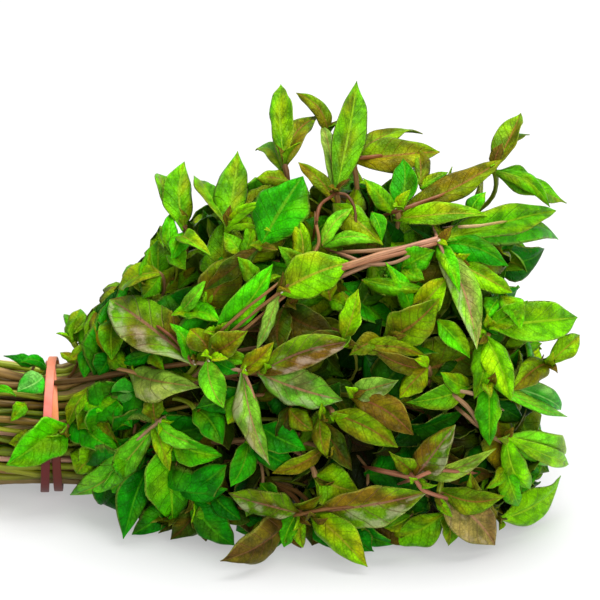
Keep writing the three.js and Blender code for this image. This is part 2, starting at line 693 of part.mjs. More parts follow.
const bunch = new THREE.Group();
stemPlaces.forEach((_, i) => {
  const green = new THREE.MeshStandardMaterial({ color: 0x4f9a12, roughness: 0.45, metalness: 0 });
  const name = `leafy_stem_${String(i + 1).padStart(2, '0')}`;
  bunch.add(meshOf(name, fused(i), green));
});
const rubber = new THREE.MeshStandardMaterial({ color: 0xe2705a, roughness: 0.5, metalness: 0 });
bunch.add(meshOf('rubber_band', bandSolid(), rubber));

// The origin is the middle of the bunch's box, on the surface it lies on.
const box = new THREE.Box3().setFromObject(bunch);
bunch.position.set(-(box.min.x + box.max.x) / 2, -(box.min.y + box.max.y) / 2, 0);

export default bunch;
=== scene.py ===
"""A tied bunch of sessile joyweed, lying on its side.

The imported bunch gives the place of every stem, side shoot and large leaf. This script works out
the same stems and leaves again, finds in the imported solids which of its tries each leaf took,
and grows the fine surface in its place: veined blades, jointed stalks, buds and the rubber band.
Lengths are millimetres in the bunch's own frame (+X from the band to the leafy head, the band's
middle at x = 0, y = 0) until a mesh is made, when they become metres in the shared frame.
"""
import logging
import math
from dataclasses import dataclass, field
from enum import Enum
from typing import Iterator, Sequence

import bpy
import numpy as np
from bpy.types import ID, Material, Node, NodeSocket, Object, bpy_prop_collection
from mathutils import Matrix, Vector
from mathutils.kdtree import KDTree


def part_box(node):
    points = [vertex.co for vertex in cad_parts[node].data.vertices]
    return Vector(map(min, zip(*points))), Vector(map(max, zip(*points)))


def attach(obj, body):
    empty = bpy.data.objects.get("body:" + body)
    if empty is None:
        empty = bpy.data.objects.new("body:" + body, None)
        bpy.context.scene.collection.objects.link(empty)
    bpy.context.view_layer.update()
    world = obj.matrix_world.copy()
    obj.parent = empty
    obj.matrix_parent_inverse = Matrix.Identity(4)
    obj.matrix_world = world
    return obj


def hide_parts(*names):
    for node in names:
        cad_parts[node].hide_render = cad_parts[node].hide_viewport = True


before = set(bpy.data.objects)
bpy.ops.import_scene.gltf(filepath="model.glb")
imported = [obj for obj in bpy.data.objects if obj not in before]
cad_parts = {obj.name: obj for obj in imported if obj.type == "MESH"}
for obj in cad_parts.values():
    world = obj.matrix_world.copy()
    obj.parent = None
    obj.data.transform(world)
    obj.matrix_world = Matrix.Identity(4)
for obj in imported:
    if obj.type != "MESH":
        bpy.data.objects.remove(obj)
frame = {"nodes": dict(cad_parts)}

Triple = tuple[float, float, float]
LOG = logging.getLogger("joyweed")
MM = 0.001
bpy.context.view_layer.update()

# Driving dimensions of the bunch, in millimetres
STEM_COUNT = 46
CUT_END_X = -65.0
CUT_STAGGER = 10.0
TIE_RADIUS = 26.0
CUT_FLARE = 7.0
MIDDLE_STEM_END = 190.0
STEM_END_FALL = 115.0
FARTHEST_STEM_END = 205.0
LONG_STEM_END = 130.0
LAST_BEND_GAP = 8.0
HEAD_GROWTH_Y = 46.0
HEAD_GROWTH_Z = 38.0
HEAD_GROWTH_START = 6.0
HEAD_GROWTH_RUN = 100.0
STEM_RADIUS_CUT = 2.1
STEM_RADIUS_TIP = 1.2
STEM_BENDS = (-12.0, 6.0, 20.0, 38.0, 62.0, 92.0)
TWIG_RADIUS = 1.1
THIN_TWIG_RADIUS = 0.75
HEAD_START_X = 12.0
LAST_TWIG_ROOT_X = 182.0
COLLAR_TWIG_RUN = 5
CLOSING_START = 130.0
CLOSING_RUN = 80.0
BEYOND_STEMS_Y = 22.0
BEYOND_STEMS_Z = 26.0
PACKED_TWIG_SIDES = 3
BAND_WIDTH = 4.0
BAND_THICKNESS = 1.1
BAND_SPREAD = 3.2
BAND_LAYER = 0.95
BAND_RADIUS = 29.7
BAND_CLEAR_X = 7.0
PETIOLE_HALF = 0.9
ROOT_DEPTH = 0.3
COURSE_STEP = 4.0
STEM_JOINTS = 14
JOINT_HEIGHT = 0.5
JOINT_HALF = 1.7
BUD_COLOUR = "#ddd6ac"
BUD_RADIUS = 0.8
BUD_LENGTH = 2.4
JOINT_STEP = 1.7
FLAT_SPOT_DEPTH = 1.4
LEAF_SPACING = 20.0
JOINTS_OUTSIDE = 4
JOINTS_HIDDEN = 1
RULE_LEAF_LENGTH = 38.0
SHOWN_STATIONS = (0.25, 0.51, 0.78)
PAIR_STATIONS = (0.28, 0.62)
SMALL_LEAF_WIDTH = 22
GOLDEN_ANGLE = math.pi * (3 - math.sqrt(5))

# The view that the shown sprigs were read from, 600 units wide and high
VIEW_UNIT = 0.45
VIEW_TIE_ACROSS = 50.0
VIEW_TIE_DOWN = 487.0
VIEW_ELEVATION = math.radians(25)
VIEW_COS = math.cos(VIEW_ELEVATION)
VIEW_SIN = math.sin(VIEW_ELEVATION)
VIEW_SIZE = 600

# The head's front in that view: a rounded section that deepens as the head opens, and its outline
FRONT_MARGIN = 3.0
FRONT_GROWTH = 50.0
FRONT_ROUNDNESS = 2.2
FRONT_TAPER_START = 150.0
FRONT_TAPER_RUN = 92.0
SURFACE_CLEARANCE = 2.2
TOP_OUTLINE = (
    (50, 345), (62, 335), (100, 283), (140, 250), (160, 195), (200, 185), (240, 158), (280, 130),
    (360, 125), (440, 145), (520, 150), (560, 200), (580, 300),
)
BOTTOM_OUTLINE = (
    (50, 490), (70, 494), (100, 520), (124, 538), (224, 555), (366, 562), (495, 546), (530, 520),
    (560, 480), (580, 350),
)

# Where the small leaves behind the shown ones stop in that view: above, and to the right
SMALL_TOP = (
    (50, 352), (62, 344), (100, 302), (130, 270), (160, 234), (200, 208), (240, 194), (280, 184),
    (340, 180), (400, 186), (440, 194), (480, 206), (505, 216), (550, 228), (570, 300),
)
SMALL_RIGHT = (
    (188, 485), (212, 498), (248, 504), (272, 498), (296, 488), (308, 512), (320, 530), (344, 550),
    (368, 535), (380, 528), (392, 508), (404, 524), (416, 540), (428, 525), (440, 540), (464, 550),
    (488, 554), (512, 540), (524, 524), (536, 480), (548, 400),
)


def linear(hex_colour: str) -> tuple[float, float, float, float]:
    """Return an sRGB hex colour as linear red, green, blue and full alpha."""
    values = [int(hex_colour[k:k + 2], 16) / 255 for k in (1, 3, 5)]
    parts = [v / 12.92 if v <= 0.04045 else ((v + 0.055) / 1.055) ** 2.4 for v in values]
    return (parts[0], parts[1], parts[2], 1.0)


def rgb(hex_colour: str) -> np.ndarray:
    """Return an sRGB hex colour as linear red, green and blue."""
    return np.array(linear(hex_colour)[:3])


class Look(Enum):
    """The colour families of joyweed leaves."""

    BRIGHT = ("#4cc000", "#78b000", 0.16, "#7cc010", 0.0, 0.3)
    FRESH = ("#80d400", "#94c400", 0.16, "#9ccc20", 0.04, 0.35)
    GREEN = ("#60b200", "#849c00", 0.3, "#80ac10", 0.03, 0.35)
    EMERALD = ("#2ca800", "#549c00", 0.22, "#60a010", 0.02, 0.3)
    LIME = ("#84cc00", "#98a804", 0.32, "#a09c28", 0.06, 0.4)
    LIGHT = ("#74dc1c", "#94c028", 0.2, "#a0a838", 0.3, 0.35)
    MINT = ("#38c020", "#84cc60", 0.3, "#8ccc60", 0.3, 0.3)
    # DEEP, a deep green, also stands as painted shade for leaves in the dark gaps
    DEEP = ("#148c00", "#387c00", 0.25, "#449c08", 0.0, 0.3)
    OLIVE = ("#78a000", "#7c7404", 0.45, "#8c6028", 0.12, 0.55)
    BRONZE = ("#747404", "#6c5810", 0.6, "#8c5434", 0.25, 0.6)
    MARBLED = ("#689c08", "#745c10", 0.4, "#946450", 0.8, 0.6)
    DUSTY = ("#78a42c", "#848434", 0.35, "#84643c", 0.45, 0.5)
    FROSTED = ("#80cc30", "#9ca454", 0.3, "#a87858", 0.75, 0.5)
    PALE = ("#8cbc40", "#9cac54", 0.25, "#94743c", 0.5, 0.4)
    TAWNY = ("#a08c4c", "#8c6c3c", 0.55, "#b08460", 0.5, 0.5)
    RUSSET = ("#746418", "#5c4014", 0.6, "#90603c", 0.25, 0.6)
    # SHADE is painted shade: a dark olive for leaves that lie in shade
    SHADE = ("#345400", "#4c4004", 0.5, "#503810", 0.0, 0.3)

    def __init__(self, green: str, bronze: str, turned: float, rib: str, bloom_and_sheen: float,
                 veins: float) -> None:
        """Keep its colours as linear red, green and blue.

        Args:
            green: its green.
            bronze: the bronze that it turns.
            turned: the share of the leaf that has turned.
            rib: the colour of its ribs.
            bloom_and_sheen: how much pale mottling, partly painted sheen, it has.
            veins: how strongly its side veins show.
        """
        self.green = rgb(green)
        self.bronze = rgb(bronze)
        self.turned = turned
        self.rib = rgb(rib)
        self.bloom_and_sheen = bloom_and_sheen
        self.veins = veins


# Their short names, and what the tables say of a leaf: its tip across and down, width and look
(
    BRIGHT, FRESH, GREEN, EMERALD, LIME, LIGHT, MINT, DEEP, OLIVE, BRONZE, MARBLED, DUSTY,
    FROSTED, PALE, TAWNY, RUSSET, SHADE,
) = Look
Leaf = tuple[float, float, float, Look]


@dataclass(frozen=True)
class Sprig:
    """A sprig that the view shows.

    Args:
        at: the point it springs from, across and down in view units.
        lift: how far it stands proud of the head, in millimetres.
        leaves: for each leaf its tip across and down, its width across and its look.
        buds: how many flower buds sit in its leaf axils.
        thin: its smallest leaves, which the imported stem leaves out, in the same form.
    """

    at: tuple[float, float]
    lift: float
    leaves: tuple[Leaf, ...]
    buds: int = 0
    thin: tuple[Leaf, ...] = ()


SHOWN_SPRIGS = tuple(Sprig(*row) for row in (
    ((196, 362), 6, ((108, 297, 50, MARBLED), (170, 323, 18, BRIGHT)), 3),
    ((211, 350), 9, ((190, 329, 24, OLIVE), (247, 331, 25, OLIVE))),
    ((130, 371), 3, ((199, 386, 36, PALE),)),
    ((209, 359), 12, ((224, 408, 24, LIGHT),), 2),
    ((244, 371), 9, ((270, 465, 22, FROSTED), (274, 342, 17, OLIVE),
                     (213, 358, 12, DEEP)), 3),
    ((262, 372), 7, ((351, 341, 30, MARBLED), (343, 400, 36, FROSTED))),
    ((216, 334), 3, ((273, 264, 27, BRIGHT),)),
    ((280, 291), 5, ((350, 262, 40, LIME), (256, 352, 11, PALE)), 1),
    ((286, 306), -4, ((281, 356, 32, SHADE), (336, 334, 34, SHADE))),
    ((184, 224), 2, ((158, 170, 24, GREEN), (184, 161, 28, GREEN),
                     (172, 257, 18, BRIGHT), (211, 256, 16, LIME))),
    ((228, 224), 2, ((197, 177, 22, GREEN), (238, 149, 29, GREEN),
                     (267, 203, 13, LIME), (268, 228, 14, LIME))),
    ((261, 246), 3, ((303, 176, 50, EMERALD), (204, 290, 18, SHADE))),
    ((262, 284), 1, ((238, 257, 15, GREEN),)),
    ((284, 163), 2, ((281, 80, 21, GREEN), (319, 114, 26, OLIVE),
                     (254, 146, 14, GREEN))),
    ((336, 193), 2, ((357, 80, 29, GREEN), (322, 124, 13, PALE),
                     (298, 162, 16, OLIVE), (382, 243, 28, LIME))),
    ((328, 132), -3, (), 0, ((296, 91, 16, OLIVE),)),
    ((352, 158), -4, ((441, 150, 40, OLIVE),), 0, ((424, 127, 26, OLIVE),)),
    ((397, 211), 3, ((403, 158, 24, EMERALD), (363, 178, 18, GREEN),
                     (503, 160, 30, OLIVE), (489, 212, 22, LIME)), 1),
    ((494, 168), 0, ((522, 111, 24, OLIVE), (568, 203, 30, GREEN)), 0,
     ((531, 131, 20, GREEN), (552, 205, 18, GREEN))),
    ((438, 241), 6, ((568, 231, 36, BRIGHT), (476, 350, 28, FROSTED),
                     (458, 290, 15, BRIGHT), (508, 266, 26, EMERALD)), 2,
     ((560, 207, 28, GREEN),)),
    ((452, 262), 0, ((512, 292, 26, LIME),)),
    ((488, 326), 3, ((580, 317, 38, FRESH), (527, 300, 18, GREEN))),
    ((548, 364), 0, ((581, 334, 20, LIME), (511, 390, 24, OLIVE))),
    ((485, 336), 3, ((510, 400, 26, FRESH), (474, 398, 20, GREEN))),
    ((488, 382), 3, ((489, 445, 22, BRIGHT), (569, 415, 20, MINT)), 0,
     ((568, 417, 10, LIGHT),)),
    ((506, 436), 1, ((569, 462, 38, LIGHT), (531, 492, 22, FRESH)), 0,
     ((568, 463, 16, FRESH),)),
    ((500, 520), 1, ((565, 478, 38, FRESH), (470, 472, 24, OLIVE))),
    ((415, 478), 5, ((455, 424, 30, MARBLED), (496, 447, 16, DUSTY),
                     (389, 452, 18, OLIVE)), 3),
    ((438, 494), 6, ((495, 545, 40, TAWNY), (505, 497, 26, OLIVE))),
    ((446, 512), 2, ((388, 541, 30, GREEN), (449, 547, 18, LIME))),
    ((300, 514), 6, ((228, 495, 34, MARBLED), (284, 547, 18, BRIGHT),
                     (303, 548, 14, LIME), (321, 497, 16, OLIVE))),
    ((310, 514), 8, ((429, 494, 42, MARBLED), (366, 567, 32, LIME))),
    ((288, 526), 2, ((224, 563, 42, RUSSET),)),
    ((350, 524), 0, ((396, 546, 24, DEEP),)),
    ((316, 478), 0, ((359, 492, 38, LIME),)),
    ((325, 449), 2, ((273, 474, 16, OLIVE),)),
    ((321, 418), 3, ((328, 458, 16, OLIVE), (352, 470, 20, SHADE))),
    ((333, 414), 4, ((398, 447, 30, OLIVE),)),
    ((352, 396), 4, ((413, 434, 30, BRONZE), (398, 380, 22, PALE))),
    ((427, 366), 3, ((399, 398, 21, OLIVE), (372, 349, 16, BRONZE))),
    ((386, 340), 2, ((439, 298, 38, OLIVE), (349, 355, 20, OLIVE))),
    ((345, 340), 4, ((358, 289, 20, LIME), (307, 336, 14, SHADE))),
    ((412, 310), 0, ((447, 277, 26, LIME), (385, 262, 16, BRIGHT))),
    ((159, 423), 9, ((66, 500, 27, LIGHT), (152, 388, 18, OLIVE),
                     (170, 471, 15, LIME), (207, 446, 15, LIGHT))),
    ((172, 440), 5, ((221, 456, 27, BRIGHT), (173, 527, 48, BRIGHT))),
    ((196, 410), 2, ((223, 444, 26, EMERALD),)),
    ((152, 468), 0, ((106, 494, 38, BRIGHT), (124, 540, 30, DEEP))),
    ((192, 498), 0, ((234, 546, 36, DEEP), (226, 466, 30, DEEP))),
    ((250, 440), 0, ((231, 487, 24, EMERALD), (299, 470, 24, DEEP))),
    ((72, 342), 1, ((79, 308, 20, GREEN),)),
    ((114, 318), 2, ((112, 358, 26, GREEN),)),
    ((142, 393), 3, ((109, 393, 23, MINT),)),
    ((146, 292), 0, ((130, 263, 24, LIME), (150, 249, 14, GREEN))),
    ((205, 309), -2, ((247, 252, 38, OLIVE), (171, 315, 18, GREEN))),
    ((66, 428), 5, ((6, 466, 40, BRIGHT),)),
    ((84, 420), 1, ((120, 452, 26, EMERALD), (126, 478, 24, DEEP))),
))

# Smaller sprigs between the large ones, which only this script grows
SMALL_SPRIGS = tuple(Sprig(*row) for row in (
    ((-4, 386), 4, ((15, 396, 9, BRIGHT),)),
    ((42, 377), 3, ((17, 391, 24, MINT),)),
    ((25, 404), 4, ((10, 421, 13, GREEN),)),
    ((89, 387), 6, ((66, 430, 14, LIME),)),
    ((74, 420), 3, ((98, 446, 24, DEEP), (112, 430, 14, GREEN))),
    ((97, 418), 4, ((116, 443, 11, OLIVE),)),
    ((95, 448), 3, ((75, 475, 26, LIME),)),
    ((140, 450), 2, ((113, 470, 20, GREEN), (118, 440, 16, DEEP))),
    ((122, 398), 4, ((96, 420, 24, BRIGHT), (132, 428, 20, DEEP))),
    ((96, 306), 1, ((84, 340, 15, LIME), (104, 350, 18, OLIVE))),
    ((92, 340), 0, ((66, 362, 12, OLIVE), (84, 380, 14, DEEP))),
    ((112, 352), 1, ((98, 376, 20, DEEP), (128, 372, 18, GREEN))),
    ((90, 396), 3, ((78, 436, 26, GREEN), (104, 412, 20, BRIGHT))),
    ((112, 404), 2, ((94, 440, 30, DEEP), (130, 424, 24, BRIGHT))),
    ((106, 440), 2, ((78, 468, 26, LIME), (120, 478, 26, GREEN))),
    ((34, 362), 0, ((2, 356, 12, DEEP),)),
    ((46, 367), -1, ((20, 361, 12, DEEP),)),
    ((38, 436), 2, ((8, 444, 16, OLIVE),)),
    ((152, 352), 3, ((120, 362, 14, DEEP), (164, 370, 12, GREEN))),
    ((160, 272), 3, ((118, 290, 26, LIME), (140, 300, 16, GREEN))),
    ((180, 310), 3, ((206, 280, 13, LIGHT), (222, 322, 21, BRIGHT))),
    ((213, 356), 4, ((254, 364, 17, GREEN),)),
    ((300, 358), 3, ((286, 343, 11, LIME),)),
    ((250, 395), 0, ((196, 408, 30, DEEP), (228, 424, 20, GREEN))),
    ((262, 425), 1, ((306, 450, 28, DEEP), (250, 452, 20, DEEP))),
    ((290, 410), 2, ((314, 431, 20, OLIVE), (276, 436, 16, SHADE))),
    ((172, 250), 1, ((170, 213, 15, BRIGHT), (186, 270, 18, GREEN))),
    ((243, 258), 2, ((252, 214, 16, GREEN), (224, 232, 20, GREEN))),
    ((300, 270), 2, ((292, 212, 18, LIME), (278, 246, 16, GREEN))),
    ((322, 245), 2, ((352, 208, 16, LIGHT), (380, 240, 13, LIGHT))),
    ((372, 212), 6, ((381, 241, 13, BRIGHT),)),
    ((420, 182), 2, ((416, 147, 15, OLIVE), (448, 172, 14, GREEN))),
    ((402, 268), 3, ((434, 250, 24, BRIGHT), (424, 280, 18, GREEN))),
    ((362, 280), 3, ((425, 288, 16, GREEN),)),
    ((437, 320), 3, ((469, 358, 19, BRIGHT),)),
    ((352, 347), 4, ((425, 353, 17, OLIVE),)),
    ((468, 388), 1, ((405, 402, 22, GREEN), (440, 372, 18, GREEN))),
    ((330, 300), 1, ((318, 262, 20, OLIVE), (352, 312, 18, GREEN))),
    ((214, 500), 1, ((198, 530, 22, GREEN), (240, 520, 20, DEEP))),
    ((262, 490), 2, ((246, 516, 20, GREEN), (282, 500, 18, BRIGHT))),
    ((410, 516), 1, ((384, 528, 22, GREEN), (430, 534, 20, BRIGHT))),
    ((506, 470), 2, ((520, 508, 22, BRIGHT), (486, 488, 16, GREEN))),
    ((500, 296), 1, ((520, 330, 20, GREEN), (486, 318, 18, BRIGHT))),
    ((178, 504), -7, ((132, 536, 28, DEEP), (158, 534, 22, SHADE))),
    ((198, 504), -3, ((170, 540, 26, SHADE), (206, 542, 24, SHADE))),
    ((262, 520), 0, ((236, 532, 24, DEEP), (272, 544, 22, GREEN))),
    ((284, 526), 0, ((262, 552, 24, DEEP),)),
    ((318, 518), -6, ((312, 546, 28, SHADE), (336, 550, 26, DEEP))),
    ((242, 504), -5, ((226, 524, 24, SHADE), (250, 534, 24, SHADE))),
    ((376, 512), -6, ((364, 546, 26, DEEP), (404, 546, 26, SHADE))),
    ((78, 336), 0, ((62, 313, 15, GREEN),)),
    ((76, 362), 1, ((59, 353, 12, OLIVE),)),
    ((288, 180), -2, ((257, 177, 16, OLIVE),)),
    ((470, 214), -1, ((486, 192, 16, BRIGHT),)),
    ((352, 528), -2, ((372, 552, 24, DEEP), (338, 548, 20, OLIVE))),
))

# Where the view looks into dark gaps between the leaves: across, down and radius
HOLLOWS = (
    (288, 453, 18), (318, 488, 19), (346, 466, 17), (359, 391, 20), (362, 531, 18), (297, 327, 14),
    (320, 317, 14), (276, 415, 16), (185, 410, 15), (235, 429, 14), (420, 458, 14), (185, 527, 14),
    (370, 334, 13), (178, 280, 12), (413, 411, 12), (146, 359, 10), (201, 495, 10), (286, 261, 10),
    (258, 500, 12), (392, 420, 11), (534, 258, 22),
)
HOLLOW_DEPTH = 34.0


@dataclass(frozen=True)
class SoftSpot:
    """A soft spot of the view: its middle across and down, and how wide and high it is."""

    across: float
    down: float
    wide: float
    high: float

    def share(self, across: float, down: float) -> float:
        """Return 1 at its middle, falling off as a bell."""
        return math.exp(-((across - self.across) / self.wide) ** 2 - ((down - self.down) / self.high) ** 2)


# Where painted shade darkens the small leaves deep in the front, and where bronze and olive leaves gather
PAINTED_SHADE_FRONT = SoftSpot(330, 470, 130, 80)
WARM_FRONT = SoftSpot(400, 430, 100, 110)

# How deep the shoots end behind the front, and how far the small leaves keep off a bare one
SHOOT_DEPTH = 5
TRAIL_COVER = 7
TRAIL_MARGIN = 12

# The first of the draws' numbers for the leaves that only this script grows
FILL_KEY = 5000
THIN_KEY = 8000
SMALL_KEY = 9000


@dataclass(frozen=True)
class Trail:
    """A bare length of side shoot that shows between the leaves.

    Args:
        line: the points it passes in the view, across and down.
        lift: how far it stands proud of the head, in millimetres.
        radius: its radius at the start and the end.
        colour: its colour at the start and the end, as sRGB hex.
    """

    line: tuple[tuple[float, float], ...]
    lift: float
    radius: tuple[float, float]
    colour: tuple[str, str]


TRAILS = tuple(Trail(*row) for row in (
    (((58, 383), (90, 379), (122, 373), (156, 368), (194, 362)), 3, (1.5, 1.1),
     ("#4a3813", "#7a532d")),
    (((194, 362), (220, 366), (244, 371)), 7, (1.0, 0.9), ("#9a7b54", "#a88468")),
    (((131, 367), (144, 351), (156, 338)), 3, (1.0, 0.8), ("#6a4b1d", "#5c4d18")),
    (((118, 369), (136, 373), (154, 381)), 6, (0.9, 0.9), ("#b0824e", "#9c7149")),
    (((74, 412), (92, 400), (112, 388)), 4, (1.1, 0.9), ("#6c5221", "#7a5b25")),
    (((244, 371), (251, 388), (256, 402)), 9, (0.8, 0.7), ("#a87a61", "#a0794d")),
    (((192, 362), (178, 342), (160, 328)), 7, (0.9, 0.7), ("#8c5636", "#844c31")),
    (((226, 337), (252, 314), (280, 292), (293, 280)), 5, (0.85, 0.7), ("#8c6539", "#7a5431")),
    (((232, 340), (257, 319), (285, 296)), 3, (0.8, 0.7), ("#7c5830", "#946a40")),
    (((221, 331), (246, 309), (274, 287)), 6, (0.8, 0.65), ("#9c7244", "#84592f")),
    (((214, 332), (236, 316), (260, 298)), 3, (0.8, 0.7), ("#b08c5c", "#8a6135")),
    (((280, 291), (300, 270), (318, 246), (316, 224)), 4, (1.0, 0.7), ("#7c532d", "#946941")),
    (((316, 224), (320, 206), (332, 196)), 5, (0.8, 0.7), ("#7a4729", "#7a4729")),
    (((336, 193), (347, 196), (355, 210), (355, 230)), 4, (0.8, 0.6), ("#6c4325", "#543610")),
    (((356, 158), (372, 157), (390, 154), (410, 150)), 0, (1.2, 0.6), ("#844922", "#744d1e")),
    (((344, 266), (372, 257), (404, 248), (438, 239)), 7, (1.2, 1.3), ("#a4764a", "#b8826c")),
    (((340, 270), (370, 261), (402, 253), (434, 244)), 7, (1.0, 0.9), ("#8c5c3c", "#a87050")),
    (((342, 276), (366, 266), (392, 256), (420, 250)), 5, (1.1, 0.9), ("#946d50", "#9c7555")),
    (((346, 256), (370, 264), (396, 262), (424, 247)), 6, (0.9, 0.8), ("#8c6148", "#a47d5d")),
    (((350, 252), (384, 250), (432, 243)), 5, (0.9, 0.9), ("#8a6444", "#a07955")),
    (((397, 211), (412, 206), (428, 200), (442, 195)), 5, (1.1, 0.6), ("#7a4a2b", "#8a5732")),
    (((460, 227), (478, 226), (496, 223)), 5, (0.9, 0.5), ("#b89474", "#a8944e")),
    (((438, 241), (446, 262), (450, 284)), 7, (0.8, 0.7), ("#a47655", "#a47964")),
    (((452, 394), (468, 408), (484, 432)), 3, (1.1, 0.9), ("#8c6845", "#a07f5c")),
    (((456, 390), (474, 394), (492, 404)), 3, (0.9, 0.8), ("#947654", "#a88a68")),
    (((462, 412), (476, 424), (492, 436)), 2, (1.0, 0.8), ("#846040", "#9c7b55")),
    (((380, 470), (398, 474), (414, 478)), 4, (1.2, 1.1), ("#7c482d", "#a06c4d")),
    (((414, 478), (436, 470), (464, 472)), 8, (1.0, 0.8), ("#a86d52", "#945c41")),
    (((414, 478), (424, 490), (446, 498)), 8, (1.1, 0.9), ("#a86d52", "#9c6449")),
    (((130, 446), (146, 432), (160, 421)), 10, (0.7, 0.9), ("#a07c55", "#a88764")),
    (((244, 508), (272, 512), (300, 514)), 3, (0.8, 1.0), ("#7c5329", "#946941")),
    (((300, 514), (330, 508), (352, 506)), 9, (0.9, 0.7), ("#8a5e35", "#7a5329")),
))

# The tries that a piece went through until it stood clear of the other stems' leaves
DEPTH_TRIES = (0, 3, -3, 6, -6, 9, -9, 13, -13, 18)
ROLL_TRIES = (0, 18, -18, 36)
TWIG_DEPTH_TRIES = (0, 3, -3, 6, -6, 10, -10)
TWIG_RUN_TRIES = (26, 14, 40)
TWIG_STEM_TRIES = 5
RULE_TRIES = (
    (0, 0, 1), (-16, 0, 1), (14, 0, 1), (0, 24, 0.9), (0, -24, 0.9), (-26, 12, 0.85),
    (10, 40, 0.8), (10, -40, 0.8), (-30, 0, 0.7),
)
SAME_CORNER = 0.03

# The side veins of a leaf: pairs along it, and how far forward each runs on its way to the edge
VEIN_PAIRS = 7.0
VEIN_SLANT = 1.6


def draw(a: float, b: float, c: float) -> float:
    """Return a number from 0 to 1 that depends only on its arguments: the fraction of a scaled sine."""
    s = math.sin(a * 12.9898 + b * 78.233 + c * 37.719) * 43758.5453
    return s - math.floor(s)


def unit(v: np.ndarray) -> np.ndarray:
    """Return a vector at length one."""
    return v / np.linalg.norm(v)


def turned(v: np.ndarray, axis: np.ndarray, angle: float) -> np.ndarray:
    """Return v turned about a unit axis, by Rodrigues' formula."""
    c, s = math.cos(angle), math.sin(angle)
    return v * c + np.cross(axis, v) * s + axis * np.dot(axis, v) * (1 - c)


def along(points: Sequence[tuple[float, float]], x: float) -> float:
    """Return the value at x of a line through points (x, value)."""
    xs, ys = zip(*points)
    return float(np.interp(x, xs, ys))


def held(share: float) -> float:
    """Return a share held between 0 and 1."""
    return min(max(share, 0.0), 1.0)


def opening(x: float) -> float:
    """Return how far the head has opened at x: a quarter sine to the power 1.35, from 0 to 1."""
    t = held((x - HEAD_GROWTH_START) / HEAD_GROWTH_RUN)
    return math.sin(math.pi / 2 * t) ** 1.35


@dataclass(frozen=True)
class StemPlace:
    """A stem's place in the bundle, as shares of its half width and half height."""

    side: float
    up: float
    reach: float


def sunflower(count: int, total: float) -> list[StemPlace]:
    """Return places over a unit disc: radius the root of the share, angle in golden steps.

    Args:
        count: how many places.
        total: the count that would fill the disc.
    Returns:
        The places, from the middle outwards.
    """
    places = []
    for i in range(count):
        reach = math.sqrt((i + 0.5) / total)
        angle = i * GOLDEN_ANGLE
        places.append(StemPlace(reach * math.cos(angle), reach * math.sin(angle), reach))
    return places


PLACES = sunflower(STEM_COUNT, STEM_COUNT)
LOWEST_PLACE = min(place.up for place in PLACES)
BAND_MIDDLE_Z = BAND_RADIUS + BAND_THICKNESS / 2 + 0.05
HEAD_HALF_Z = TIE_RADIUS + HEAD_GROWTH_Z
HEAD_RISE = STEM_RADIUS_CUT - FLAT_SPOT_DEPTH - LOWEST_PLACE * HEAD_HALF_Z - BAND_MIDDLE_Z


def section(x: float) -> tuple[float, float, float]:
    """Return the half width, half height and middle height of the bunch of stems at x."""
    cut = CUT_FLARE * max(0.0, x / CUT_END_X) ** 1.5
    opened = opening(x)
    return (
        TIE_RADIUS + cut + HEAD_GROWTH_Y * opened,
        TIE_RADIUS + cut + HEAD_GROWTH_Z * opened,
        BAND_MIDDLE_Z + cut + HEAD_RISE * opened,
    )


def course_point(place: StemPlace, x: float) -> np.ndarray:
    """Return where the smooth course of a stem passes x: its place scaled by the section there."""
    half_y, half_z, middle = section(x)
    return np.array([x, half_y * place.side, middle + half_z * place.up])


def stem_end(i: int) -> float:
    """Return the x where stem i ends."""
    shortest = MIDDLE_STEM_END - STEM_END_FALL * PLACES[i].reach ** 2
    return shortest + (FARTHEST_STEM_END - shortest) * draw(i, 1, 0)


def stem_stations(i: int) -> list[float]:
    """Return where stem i starts, bends and ends."""
    end = stem_end(i)
    stations = [x for x in STEM_BENDS if x < end - LAST_BEND_GAP]
    if end > LONG_STEM_END:
        stations.append((STEM_BENDS[-1] + end) / 2)
    return [CUT_END_X + CUT_STAGGER * draw(i, 2, 0), *stations, end]


def stem_point(i: int, x: float) -> np.ndarray:
    """Return the point of stem i at x on the straight run between two bends."""
    stations = stem_stations(i)
    if x > stations[-1]:
        a, b = stations[-2:]
    else:
        later = max(1, next(n for n, station in enumerate(stations) if station >= x))
        a, b = stations[later - 1], stations[later]
    start, stop = course_point(PLACES[i], a), course_point(PLACES[i], b)
    return start + (stop - start) * (x - a) / (b - a)


def stem_direction(i: int, x: float) -> np.ndarray:
    """Return the direction of stem i at x."""
    return unit(stem_point(i, x + 1) - stem_point(i, x - 1))


def view_point(across: float, down: float, depth: float) -> np.ndarray:
    """Return the point of the view at across, down, moved depth towards the viewer."""
    rise = (VIEW_TIE_DOWN - down) * VIEW_UNIT
    return np.array([
        (across - VIEW_TIE_ACROSS) * VIEW_UNIT,
        rise * VIEW_SIN - depth * VIEW_COS,
        rise * VIEW_COS + depth * VIEW_SIN,
    ])


def seen_at(point: np.ndarray) -> tuple[float, float, float]:
    """Return where the view shows a point: across, down, and how near the viewer it is."""
    across = point[0] / VIEW_UNIT + VIEW_TIE_ACROSS
    down = VIEW_TIE_DOWN - (point[1] * VIEW_SIN + point[2] * VIEW_COS) / VIEW_UNIT
    return across, down, point[2] * VIEW_SIN - point[1] * VIEW_COS


